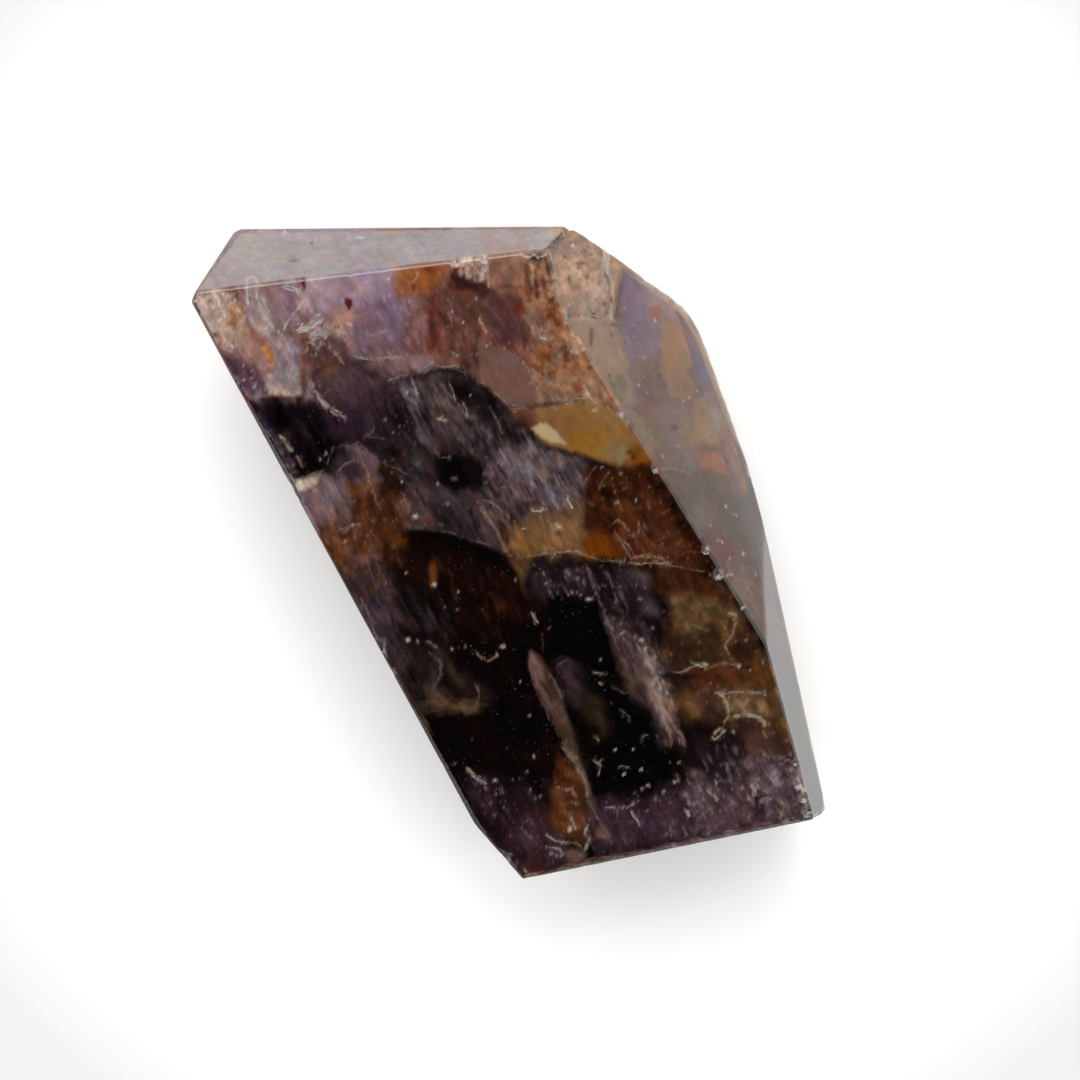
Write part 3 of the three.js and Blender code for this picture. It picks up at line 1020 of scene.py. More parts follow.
MIDDLE_VEINS = [
    ([(293, 480), (308, 476), (325, 470)], 2.4, BONE),
    ([(328, 472), (328, 460), (333, 448), (340, 445), (350, 447), (360, 443), (366, 450),
      (378, 461), (395, 468), (412, 477)], 1.7, DULL),
    ([(362, 440), (366, 435), (371, 433), (374, 428), (370, 420)], 1.6, DULL),
    ([(366, 437), (376, 437), (385, 440)], 1.4, DULL),
    ([(336, 472), (345, 464), (357, 460), (366, 468), (370, 482), (373, 492), (379, 505)],
     1.7, PINKISH),
    ([(336, 474), (338, 485), (345, 492)], 1.5, DULL),
    ([(343, 501), (352, 502), (357, 499)], 1.3, PINKISH),
    ([(338, 530), (350, 526), (361, 524)], 1.5, PINKISH),
    ([(300, 498), (310, 507), (322, 510)], 1.5, DULL),
    ([(322, 485), (327, 505), (330, 525)], 1.6, DULL),
    ([(334, 493), (337, 510)], 1.5, DULL),
    ([(404, 529), (418, 528), (432, 529), (455, 534), (475, 541), (492, 546)], 1.7, DULL),
    ([(478, 503), (485, 500), (493, 503), (503, 512), (515, 523)], 1.8, PINKISH),
    ([(480, 508), (490, 521), (500, 538), (508, 553)], 2.2, PINKISH),
    ([(507, 555), (520, 557), (535, 555), (555, 553), (575, 552), (585, 555), (600, 560),
      (620, 562), (640, 564), (660, 563), (672, 563)], 2.4, BONE),
    ([(660, 565), (678, 566), (690, 569), (705, 571)], 1.8, PINKISH),
    ([(675, 556), (690, 552), (706, 553)], 1.4, RUST),
    ([(707, 573), (715, 578), (725, 578), (731, 571)], 2.6, BONE),
    ([(530, 510), (538, 511), (546, 508)], 2.8, WHITE),
    ([(553, 499), (557, 505), (561, 511)], 2.2, PALE),
    ([(567, 495), (569, 502), (572, 509)], 3.0, WHITE),
    ([(555, 523), (559, 529)], 4.0, BONE),
    ([(521, 528), (526, 529)], 2.6, PALE),
    ([(489, 406), (493, 414), (498, 422), (502, 434)], 2.4, DULL),
    ([(412, 378), (415, 387), (418, 395)], 2.0, PALE),
    ([(436, 376), (445, 390), (458, 404), (468, 420)], 2.2, DULL),
    ([(448, 378), (452, 388), (456, 400)], 1.8, PALE),
    ([(463, 403), (468, 416)], 2.2, PALE),
    ([(434, 450), (441, 457), (452, 459)], 2.0, DULL),
    ([(436, 418), (441, 418), (446, 422)], 3.2, BONE),
    ([(514, 458), (521, 467), (530, 472), (538, 470), (548, 477)], 5.0, DULL),
    ([(505, 440), (512, 452), (517, 462)], 3.0, DULL),
    ([(495, 488), (508, 488), (518, 494), (520, 503)], 1.4, DULL),
    ([(610, 526), (617, 520), (624, 524), (629, 532)], 2.0, PINKISH),
    ([(614, 531), (622, 544), (628, 552), (632, 560)], 2.0, PINKISH),
    ([(623, 540), (630, 548), (636, 560)], 1.4, PINKISH),
    ([(628, 535), (636, 536), (640, 530), (638, 520)], 1.6, PINKISH),
    ([(634, 502), (637, 497)], 2.0, PALE),
    ([(632, 558), (650, 556), (664, 559)], 3.0, PINKISH),
    ([(402, 492), (405, 498), (409, 510)], 2.0, PINKISH),
    ([(279, 435), (286, 442), (293, 452)], 5.0, BONE),
    ([(296, 455), (304, 467)], 4.0, PINKISH),
    ([(375, 555), (380, 570), (386, 586)], 2.0, DULL),
    ([(366, 556), (372, 575), (378, 590)], 1.5, DULL),
    ([(612, 470), (604, 478), (599, 490)], 1.6, DULL),
    ([(582, 485), (590, 474), (597, 466)], 1.6, DULL),
    ([(534, 429), (541, 424), (547, 424), (556, 432), (565, 443)], 1.4, BONE),
    ([(585, 560), (590, 575), (596, 590), (604, 612), (612, 634), (619, 650)], 2.2, DULL),
    ([(606, 568), (611, 582), (617, 602)], 2.0, DULL),
]
LOWER_VEINS = [
    ([(361, 598), (366, 608), (372, 625), (380, 645), (385, 656)], 4.0, DULL),
    ([(376, 640), (384, 640), (383, 650), (388, 660), (392, 668)], 2.6, PALE),
    ([(424, 641), (430, 642), (434, 646), (438, 647)], 2.4, PALE),
    ([(428, 652), (434, 657), (440, 662), (441, 674), (437, 684), (434, 691)], 2.6, DULL),
    ([(472, 650), (478, 653), (481, 658), (489, 661), (496, 656)], 2.2, PINKISH),
    ([(475, 684), (479, 692), (478, 702)], 1.8, DULL),
    ([(458, 702), (470, 703), (478, 701), (477, 708)], 2.2, (70, 52, 34)),
    ([(420, 712), (436, 711), (450, 708)], 2.2, (74, 54, 38)),
    ([(466, 768), (472, 773), (478, 779), (487, 784)], 3.4, BONE),
    ([(484, 776), (486, 784)], 1.6, DULL),
    ([(500, 785), (502, 795)], 2.6, DULL),
    ([(531, 612), (534, 617), (538, 624)], 3.0, PALE),
    ([(541, 630), (543, 642), (543, 655)], 1.4, RUST),
    ([(529, 664), (531, 674), (538, 692), (548, 716), (560, 737)], 1.7, PINKISH),
    ([(550, 672), (556, 684), (564, 700)], 2.2, PALE),
    ([(561, 742), (566, 750), (571, 757), (575, 762)], 4.6, BONE),
    ([(577, 768), (582, 774), (586, 786), (588, 798)], 3.0, PINKISH),
    ([(588, 800), (594, 812), (600, 822), (606, 832), (612, 845)], 2.0, DULL),
    ([(556, 668), (561, 662), (566, 660)], 1.8, DULL),
    ([(593, 672), (600, 673), (606, 674)], 2.4, PALE),
    ([(598, 682), (604, 684)], 2.4, PALE),
    ([(609, 685), (618, 689), (624, 693), (630, 692)], 1.8, DULL),
    ([(594, 736), (600, 741)], 2.4, PALE),
    ([(593, 759), (597, 763), (600, 766), (598, 776)], 2.4, PALE),
    ([(603, 757), (598, 764)], 2.0, PALE),
    ([(620, 709), (625, 713), (630, 718)], 2.2, DULL),
    ([(644, 744), (641, 740), (643, 736), (649, 735)], 2.2, PALE),
    ([(618, 767), (624, 767), (631, 769)], 2.0, PALE),
    ([(675, 773), (679, 777), (677, 782), (672, 783)], 2.4, PALE),
    ([(686, 778), (690, 784)], 2.0, PALE),
    ([(604, 808), (618, 807), (628, 806), (637, 804)], 2.2, PALE),
    ([(618, 808), (617, 818)], 1.8, DULL),
    ([(630, 811), (635, 818), (641, 826)], 3.0, PALE),
    ([(589, 825), (585, 833), (590, 838), (586, 848), (582, 850)], 3.6, BONE),
    ([(546, 834), (556, 841), (566, 843), (576, 843), (582, 849)], 2.2, BONE),
    ([(546, 847), (555, 848), (561, 851), (565, 855), (558, 856), (549, 851)], 1.8, PALE),
    ([(556, 787), (566, 790), (573, 790), (577, 800)], 2.2, PINKISH),
    ([(571, 816), (573, 822), (576, 830)], 2.4, PALE),
    ([(521, 826), (526, 833), (533, 839)], 2.0, DULL),
    ([(523, 868), (526, 873), (529, 877)], 4.0, PALE),
    ([(503, 850), (508, 855), (511, 861)], 3.6, PALE),
    ([(645, 660), (652, 668), (658, 680), (662, 692)], 3.0, PALE),
    ([(656, 705), (664, 722), (672, 740), (670, 747)], 2.4, PINKISH),
    ([(668, 712), (675, 728), (682, 745)], 2.4, PINKISH),
    ([(670, 672), (680, 673), (690, 668), (700, 664)], 1.8, PALE),
    ([(690, 662), (697, 664), (702, 667), (708, 663)], 3.0, BONE),
    ([(706, 669), (715, 666), (725, 663), (739, 666)], 1.6, PINKISH),
    ([(735, 620), (733, 634), (726, 643), (726, 650), (731, 655)], 2.2, PINKISH),
    ([(728, 613), (733, 614), (738, 616)], 3.6, BONE),
    ([(688, 623), (697, 626), (705, 630), (711, 633)], 2.0, MOSS),
    ([(715, 694), (725, 692), (745, 692), (767, 694)], 2.4, PALE),
    ([(716, 693), (723, 696), (728, 706), (729, 716), (723, 724)], 3.0, BONE),
    ([(733, 717), (745, 715), (755, 717), (762, 721), (766, 727)], 4.4, BONE),
    ([(737, 700), (743, 708), (745, 717)], 4.0, (150, 134, 106)),
    ([(748, 700), (742, 710)], 3.4, (150, 134, 106)),
    ([(712, 735), (714, 739), (720, 736), (725, 731), (720, 729), (713, 733)], 3.0, BONE),
    ([(686, 702), (692, 705)], 2.6, DULL),
    ([(707, 787), (711, 794), (718, 801)], 2.6, PALE),
    ([(726, 762), (729, 772), (731, 782)], 4.0, DULL),
    ([(737, 766), (739, 778)], 3.0, DULL),
    ([(750, 784), (753, 790), (754, 797)], 3.6, PALE),
    ([(758, 803), (766, 800), (772, 797)], 4.0, PINKISH),
    ([(693, 786), (697, 798), (701, 810)], 2.6, DULL),
    ([(683, 791), (688, 797), (691, 805)], 5.0, (128, 124, 132)),
    ([(684, 809), (687, 814), (689, 817)], 5.0, BONE),
    ([(696, 820), (697, 830), (694, 842)], 4.0, GREY_MAUVE),
    ([(670, 826), (672, 838)], 2.4, DULL),
    ([(780, 800), (784, 808), (781, 816), (777, 824)], 2.4, PINKISH),
    ([(749, 812), (750, 822)], 3.0, DULL),
    ([(682, 826), (688, 838)], 2.4, DULL),
    ([(766, 757), (772, 756), (775, 762)], 2.2, DULL),
    ([(797, 773), (800, 784), (803, 792)], 2.4, BONE),
    ([(803, 796), (807, 808), (809, 815)], 2.8, BONE),
]
# The tilted faces' veins, and painted highlights: the first three rows are a painted highlight along
# the main face's edge with the tip face, the fourth a painted highlight along the step beside the
# crust.
FACE_VEINS_AND_EDGE_HIGHLIGHTS = [
    ([(206, 291), (240, 287), (262, 284)], 1.2, PALE),
    ([(300, 280), (345, 274), (400, 267)], 1.3, PALE),
    ([(420, 265), (470, 259), (512, 253)], 1.3, WHITE),
    ([(599, 254), (608, 267), (613, 284), (614, 300), (609, 314), (600, 323)], 2.6, BONE),
    ([(662, 469), (672, 468), (678, 470)], 1.6, PALE),
    ([(680, 471), (690, 473)], 1.4, PALE),
    ([(700, 437), (706, 436), (711, 431)], 2.2, (176, 146, 108)),
    ([(670, 446), (680, 445)], 1.4, PALE),
]
# Bright grains: place, size in px and colour
GRAINS = [
    ((285, 232), (5, 3), WHITE), ((360, 238), (6, 2.4), WHITE), ((484, 259), 1.6, WHITE),
    ((573, 245), 2.2, WHITE), ((359, 276), 1.4, WHITE), ((365, 282), 1.3, WHITE),
    ((353, 295), 1.3, PALE), ((389, 279), 1.4, WHITE), ((463, 323), 1.6, WHITE),
    ((477, 298), 1.4, WHITE), ((243, 380), 1.8, PALE), ((252, 378), 1.5, PALE),
    ((275, 391), (6, 4), BONE), ((638, 385), 1.6, WHITE), ((646, 392), 1.4, WHITE),
    ((690, 398), 1.7, WHITE), ((697, 391), 1.4, PALE), ((683, 400), 1.3, PALE),
    ((655, 320), 1.8, WHITE), ((595, 410), (5, 2), BONE), ((407, 392), 1.6, WHITE),
    ((440, 420), 1.8, BONE), ((470, 395), 1.4, PALE), ((320, 459), 2.0, PALE),
    ((326, 453), 1.8, PALE), ((415, 516), (4, 3), WHITE), ((437, 485), 2.0, WHITE),
    ((402, 482), 1.6, PALE), ((419, 462), 1.5, DULL), ((454, 478), (5, 2), DULL),
    ((434, 584), (3.4, 2), WHITE), ((406, 573), 2.0, PALE), ((353, 524), 2.0, BONE),
    ((345, 541), 2.0, BONE), ((458, 592), 1.6, PALE), ((457, 609), 1.7, PALE),
    ((445, 607), 1.6, DULL), ((515, 580), (2, 4), PINKISH), ((590, 599), (6, 2.4), WHITE),
    ((584, 582), (2, 5), DULL), ((640, 599), (4, 2.6), DULL), ((602, 467), 2.2, PALE),
    ((621, 473), 2.6, PALE), ((567, 571), (3, 4), DULL), ((577, 578), (4, 3), DULL),
    ((615, 503), 2.0, PINKISH), ((726, 507), 2.0, WHITE), ((722, 542), 1.8, BONE),
    ((743, 554), 2.2, WHITE), ((663, 457), 2.2, PALE), ((736, 448), 1.8, BONE),
    ((707, 548), (3, 4), BONE), ((408, 640), (3.4, 2.6), WHITE), ((417, 641), 1.8, PALE),
    ((452, 649), (2.2, 2.8), PALE), ((459, 647), 1.4, DULL), ((465, 646), 2.0, DULL),
    ((503, 647), (4, 2.6), PALE), ((497, 655), 2.2, PALE), ((383, 652), (2.2, 3.6), WHITE),
    ((520, 682), 1.8, PALE), ((528, 715), 1.8, PALE), ((534, 757), (2.4, 3.4), PINKISH),
    ((527, 772), 2.4, DULL), ((513, 780), 2.0, DULL), ((495, 780), (3.4, 2), WHITE),
    ((449, 766), (4, 2), DULL), ((455, 763), 1.8, PALE), ((540, 796), 2.2, DULL),
    ((494, 815), 2.4, DULL), ((600, 659), 2.0, PALE), ((549, 628), 1.8, DULL),
    ((630, 721), 2.0, DULL), ((615, 750), (2.4, 1.8), WHITE), ((633, 749), (2.2, 1.7), WHITE),
    ((642, 770), 2.2, WHITE), ((624, 775), 2.2, WHITE), ((648, 785), (3, 1.6), WHITE),
    ((642, 789), 2.2, PALE), ((634, 792), 2.0, DULL), ((664, 792), 2.4, WHITE),
    ((674, 782), (2.6, 1.8), WHITE), ((655, 799), (2.6, 3.4), DULL), ((647, 811), 2.0, DULL),
    ((641, 640), (4, 2.4), BONE), ((646, 648), (4, 2), PALE), ((635, 637), 2.0, PINKISH),
    ((653, 628), (2.6, 3), DULL), ((655, 657), (2.4, 4), PALE), ((663, 612), 1.6, DULL),
    ((660, 688), 2.4, WHITE), ((667, 693), 2.6, WHITE), ((653, 684), 2.0, PALE),
    ((679, 763), (4, 2), PINKISH), ((704, 664), (3, 2), WHITE), ((739, 666), 2.6, WHITE),
    ((750, 670), 2.0, PALE), ((746, 640), 1.8, PALE), ((736, 641), 1.5, DULL),
    ((762, 662), 1.6, PALE), ((742, 608), (3, 2), WHITE), ((735, 624), 1.8, PALE),
    ((733, 731), 2.0, WHITE), ((716, 782), 2.4, WHITE), ((742, 788), 3.0, PINKISH),
    ((752, 785), 2.6, PALE), ((764, 755), 1.8, PALE), ((790, 755), 2.2, PINKISH),
    ((779, 774), 1.8, DULL), ((782, 783), 2.4, DULL), ((790, 790), 2.0, DULL),
    ((735, 804), 2.4, DULL), ((729, 830), (4, 3.4), DULL), ((675, 845), (3.4, 2), PALE),
    ((570, 829), (3, 4), WHITE), ((516, 864), 1.8, PALE), ((622, 852), 2.4, DULL),
    ((707, 752), 1.6, DULL), ((696, 751), 1.6, DULL),
]
# Dark and rusty spots: place, size in px and colour
STAINS = [
    ((312, 243), 1.6, (120, 106, 104)), ((294, 260), (5, 1.6), (132, 118, 114)),
    ((565, 229), 2.2, (112, 62, 36)), ((561, 237), 2.0, (112, 62, 36)),
    ((565, 257), 2.0, (120, 70, 44)), ((580, 264), (5, 1.8), (110, 62, 36)),
    ((569, 279), (1.8, 4), (104, 56, 32)), ((587, 277), (1.8, 3), (112, 66, 40)),
    ((605, 304), 1.8, (104, 52, 30)), ((607, 313), 2.2, (104, 52, 30)),
    ((594, 315), 1.6, (116, 70, 44)), ((552, 310), (2, 5), (104, 54, 32)),
    ((540, 310), (5, 2), (116, 70, 46)), ((561, 328), 2.4, (164, 92, 44)),
    ((591, 337), (2, 8), (108, 58, 34)), ((614, 325), (4, 1.6), (112, 62, 38)),
    ((621, 315), 1.7, (112, 62, 38)), ((612, 335), 1.6, (116, 68, 42)),
    ((609, 375), 1.6, (116, 68, 42)), ((537, 353), (8, 7), (126, 74, 44)),
    ((584, 355), (3, 4), (120, 62, 34)), ((584, 364), (4, 4), (168, 104, 58)),
    ((569, 372), (6, 6), (128, 76, 46)), ((577, 388), (4.4, 5.4), (150, 62, 30)),
    ((325, 352), (4, 3), (80, 40, 34)), ((308, 324), (8, 2.4), (120, 60, 36)),
    ((215, 335), 3.0, (84, 48, 32)), ((234, 316), (3, 8), (184, 118, 60)),
    ((304, 370), (3.4, 22), (104, 54, 40)),
    ((430, 269), (7, 2.6), (96, 44, 28)), ((414, 287), (2, 5), (84, 40, 26)),
    ((434, 340), (3, 8), (76, 34, 28)), ((527, 279), (3, 18), (92, 46, 30)),
    ((543, 280), (2, 8), (98, 52, 34)), ((536, 257), (6, 4), (26, 14, 12)),
    ((548, 269), (2.4, 8), (36, 20, 16)), ((550, 247), 1.8, (40, 26, 22)),
    ((519, 309), (4, 6), (110, 46, 28)), ((530, 300), 2.4, (112, 50, 30)),
    ((507, 287), (18, 2.4), (92, 56, 44)), ((358, 504), (4, 8), (42, 20, 10)),
    ((371, 500), (4, 9), (40, 20, 12)), ((330, 551), (4, 3), (52, 24, 10)),
    ((355, 551), (2.4, 4), (56, 28, 14)), ((346, 536), (4, 2.4), (60, 30, 16)),
    ((386, 550), (3.4, 8), (28, 14, 10)), ((390, 506), (4, 7), (38, 18, 10)),
    ((429, 520), (5, 3.4), (84, 44, 28)), ((414, 485), (2.4, 3), (70, 40, 26)),
    ((629, 452), (2.8, 2.2), (64, 30, 12)), ((634, 457), (3, 3), (66, 30, 12)),
    ((641, 466), (3.4, 3), (60, 28, 12)), ((650, 462), 1.6, (70, 34, 14)),
    ((635, 500), (3, 4), (34, 15, 8)), ((650, 535), (4, 4), (34, 16, 9)),
    ((662, 487), (5, 4), (14, 7, 5)), ((674, 502), (3.4, 6), (14, 7, 5)),
    ((680, 524), (5, 4), (24, 11, 7)), ((692, 566), (4, 2), (52, 26, 12)),
    ((657, 312), (5, 6), (164, 82, 44)), ((660, 375), (2, 2.4), (84, 66, 66)),
    ((675, 428), (4, 2.4), (92, 78, 72)), ((499, 494), (2.6, 3.4), (40, 28, 32)),
    ((531, 503), (6, 2.4), (44, 30, 30)), ((558, 533), (3.4, 2), (58, 40, 32)),
    ((433, 573), (4, 13), (128, 72, 30)), ((550, 568), (8, 3), (26, 18, 14)),
    ((558, 577), (5, 4), (6, 4, 5)), ((612, 594), (3, 10), (10, 6, 10)),
    ((590, 856), (3.4, 13), (4, 2, 4)), ((597, 822), (2.4, 8), (34, 24, 32)),
    ((570, 797), (5, 2.4), (46, 22, 12)), ((565, 780), (7, 2), (46, 22, 12)),
    ((528, 870), (14, 8), (84, 42, 30)), ((675, 676), (22, 3), (16, 9, 8)),
    ((742, 667), (12, 1.8), (22, 11, 8)), ((716, 737), (3, 3), (18, 10, 10)),
    ((392, 664), (2.4, 3.4), (34, 22, 16)), ((395, 678), (2.4, 4), (28, 18, 12)),
    ((536, 668), (3, 4), (88, 64, 54)), ((665, 623), (4, 5), (62, 36, 32)),
    ((752, 790), 1.8, (70, 46, 48)), ((744, 803), (8, 2), (58, 34, 40)),
]


def texture_upper(c):
    """Clouds, streaks and dots of the pale zone."""
    c.on("main")
    upper = [(200, 300), (280, 285), (545, 252), (605, 385), (560, 400), (500, 395),
             (440, 365), (380, 378), (300, 396), (240, 395)]
    left = [(238, 292), (300, 280), (400, 270), (430, 300), (420, 350), (340, 352), (300, 340),
            (250, 340)]
    c.blotches(left, 70, [PALE_LILAC, LILAC, (128, 98, 112), (150, 124, 124), (160, 140, 142)],
               62, 4, 12, 0.5)
    plum = [(235, 345), (345, 345), (345, 385), (300, 402), (240, 402)]
    c.blotches(plum, 30, [PLUM, PURPLE_BROWN, PINK_BROWN, (146, 118, 116)], 64, 5, 12, 0.5)
    right = [(400, 300), (545, 252), (560, 330), (530, 400), (440, 360), (400, 340)]
    c.blotches(right, 60, [PURPLE_BROWN, MAUVE_BROWN, UMBER, (128, 82, 64)], 63, 4, 11, 0.55)
    c.strands(left, 200, [PALE, PALE_LILAC, (176, 156, 158), (112, 82, 98)], 5, 18, 1.6, 62, 0.4)
    c.strands(upper, 150, [PINKISH, PALE_LILAC, (120, 90, 92)], 6, 20, 2.0, 66, 0.35)
    c.strands(right, 130, [UMBER, PURPLE_BROWN, (84, 38, 28), (140, 96, 76)], 65, 22, 2.4, 74, 0.55)
    c.dots(upper, 260, [WHITE, PALE, BONE], 7, 0.6, 1.5, 0.6)
    c.dots(right, 110, [RED_BROWN, UMBER, RUST], 8, 0.8, 2.2, 0.55)
    corner = [(192, 296), (236, 290), (236, 345), (215, 350)]
    c.dots(corner, 140, [WHITE, BONE, (176, 160, 152), (120, 96, 84)], 9, 0.8, 2.4, 0.75)
    ochre = [(228, 306), (246, 306), (246, 332), (226, 332)]
    c.dots(ochre, 40, [(150, 98, 52), (120, 70, 36), WHITE], 54, 1.0, 2.6, 0.85)
    cluster = [(455, 257), (488, 255), (486, 283), (470, 285), (458, 271)]
    c.dots(cluster, 90, [WHITE, BONE, (150, 92, 62), UMBER], 10, 1.0, 2.6, 0.85)
    crossing = [(303, 332), (345, 322), (352, 352), (330, 362), (304, 356)]
    c.strands(crossing, 50, [WHITE, PALE, (60, 34, 36), PALE], 55, 14, 1.6, -28, 0.7)
    c.strands(crossing, 30, [WHITE, (70, 40, 40), PALE], 56, 12, 1.4, 40, 0.6)


def texture_tan(c):
    """The tan zone by the crust, with its rusty clusters."""
    c.on("main")
    tan = [(526, 252), (548, 250), (566, 320), (606, 385), (622, 418), (600, 400), (560, 402),
           (534, 400), (530, 345)]
    c.blotches(tan, 50, [(172, 140, 116), (140, 104, 82), (158, 126, 104), (120, 80, 58)],
               66, 4, 10, 0.55)
    c.dots(tan, 70, [(112, 66, 42), (92, 52, 34), (176, 146, 120)], 11, 0.8, 2.2, 0.7)
    clusters = (
        [(536, 292), (562, 296), (568, 330), (546, 336)],
        [(528, 342), (550, 342), (552, 374), (532, 376)],
        [(560, 346), (594, 348), (596, 378), (566, 380)],
    )
    for seed, outline in enumerate(clusters, 57):
        c.dots(outline, 40, [(128, 70, 34), (96, 48, 26), (140, 84, 44), (74, 38, 24)], seed,
               1.2, 4.0, 0.8)
    by_crust = [(526, 256), (548, 252), (556, 290), (530, 296)]
    c.dots(by_crust, 50, [(84, 46, 30), (52, 28, 20), (176, 144, 118)], 12, 0.9, 2.6, 0.8)
    c.strands(tan, 70, [(112, 66, 42), BONE, (186, 160, 138)], 13, 14, 1.6, 68, 0.5)


def texture_middle(c):
    """The dark dome, its pale streaks and the stained zones on its sides."""
    c.on("main")
    left_edge = [(225, 380), (262, 400), (300, 475), (285, 485)]
    c.strands(left_edge, 60, [DULL, VEIL_GREY, (104, 98, 122)], 3, 20, 2.0, 66, 0.65)
    c.dots(left_edge, 60, [DULL, PALE, (104, 98, 122)], 4, 0.8, 2.2, 0.65)
    near_black = [(240, 402), (300, 402), (345, 420), (372, 410), (374, 440), (330, 470), (290, 478)]
    c.blotches(near_black, 26, [(26, 18, 32), BLACK, (36, 24, 36), BLACK], 60, 5, 16, 0.6)
    c.strands(near_black, 50, [(44, 34, 50), BLACK, DUSK], 61, 18, 2.2, 64, 0.55)
    c.dots(near_black, 24, [DULL, (150, 140, 150)], 53, 0.6, 1.3, 0.6)
    centre = [(345, 378), (440, 370), (500, 400), (560, 450), (585, 480), (560, 520),
              (500, 540), (400, 520), (372, 440)]
    c.blotches(centre, 110, [SMOKE, BLACK, (82, 74, 78), DUSK, BLACK], 67, 6, 18, 0.6)
    c.strands(centre, 260, [(84, 76, 80), (116, 106, 108), SMOKE, BLACK], 14, 24, 1.8, 63, 0.5)
    c.strands(centre, 200, [BLACK, CHAR], 15, 26, 3.0, 62, 0.65)
    bundles = (
        ([(398, 384), (412, 378), (432, 420), (438, 450), (420, 440)], 80),
        ([(425, 374), (448, 378), (476, 420), (482, 448), (462, 440)], 60),
        ([(462, 398), (500, 404), (545, 448), (552, 490), (515, 480), (482, 440)], 110),
        ([(520, 445), (560, 452), (585, 480), (572, 512), (540, 500)], 60),
        ([(470, 490), (505, 484), (540, 500), (520, 525), (490, 520)], 40),
    )
    for seed, (outline, count) in enumerate(bundles, 110):
        c.blotches(outline, count // 3, [(104, 92, 96), (74, 62, 68), (126, 114, 116)], seed + 20,
                   3, 9, 0.45)
        c.strands(outline, count, [(128, 118, 120), (104, 95, 98), (150, 140, 138)], seed,
                  24, 1.5, 62, 0.55)
    c.dots(centre, 150, [(122, 112, 112), PALE, (90, 80, 84)], 17, 0.6, 1.6, 0.55)
    milky = [(298, 480), (330, 472), (360, 500), (356, 525), (325, 530)]
    c.blotches(milky, 24, [(74, 56, 62), PALE_LILAC, ROSE, (90, 70, 76)], 68, 4, 10, 0.5)
    c.strands(milky, 70, [PALE_LILAC, ROSE, SMOKE, (150, 132, 138)], 18, 18, 1.6, 84, 0.5)
    rusty = [(316, 534), (352, 496), (372, 490), (405, 500), (400, 570), (370, 590), (345, 590)]
    c.blotches(rusty, 70, [BARK, (116, 66, 28), (52, 28, 20), (92, 66, 64), (96, 70, 64)],
               69, 4, 12, 0.6)
    c.strands(rusty, 110, [(122, 74, 34), (98, 72, 68), (46, 24, 16), (88, 62, 62)], 19,
              24, 2.2, 78, 0.55)
    c.dots(rusty, 70, [PINKISH, (150, 104, 60), (54, 28, 16)], 20, 0.8, 2.2, 0.55)


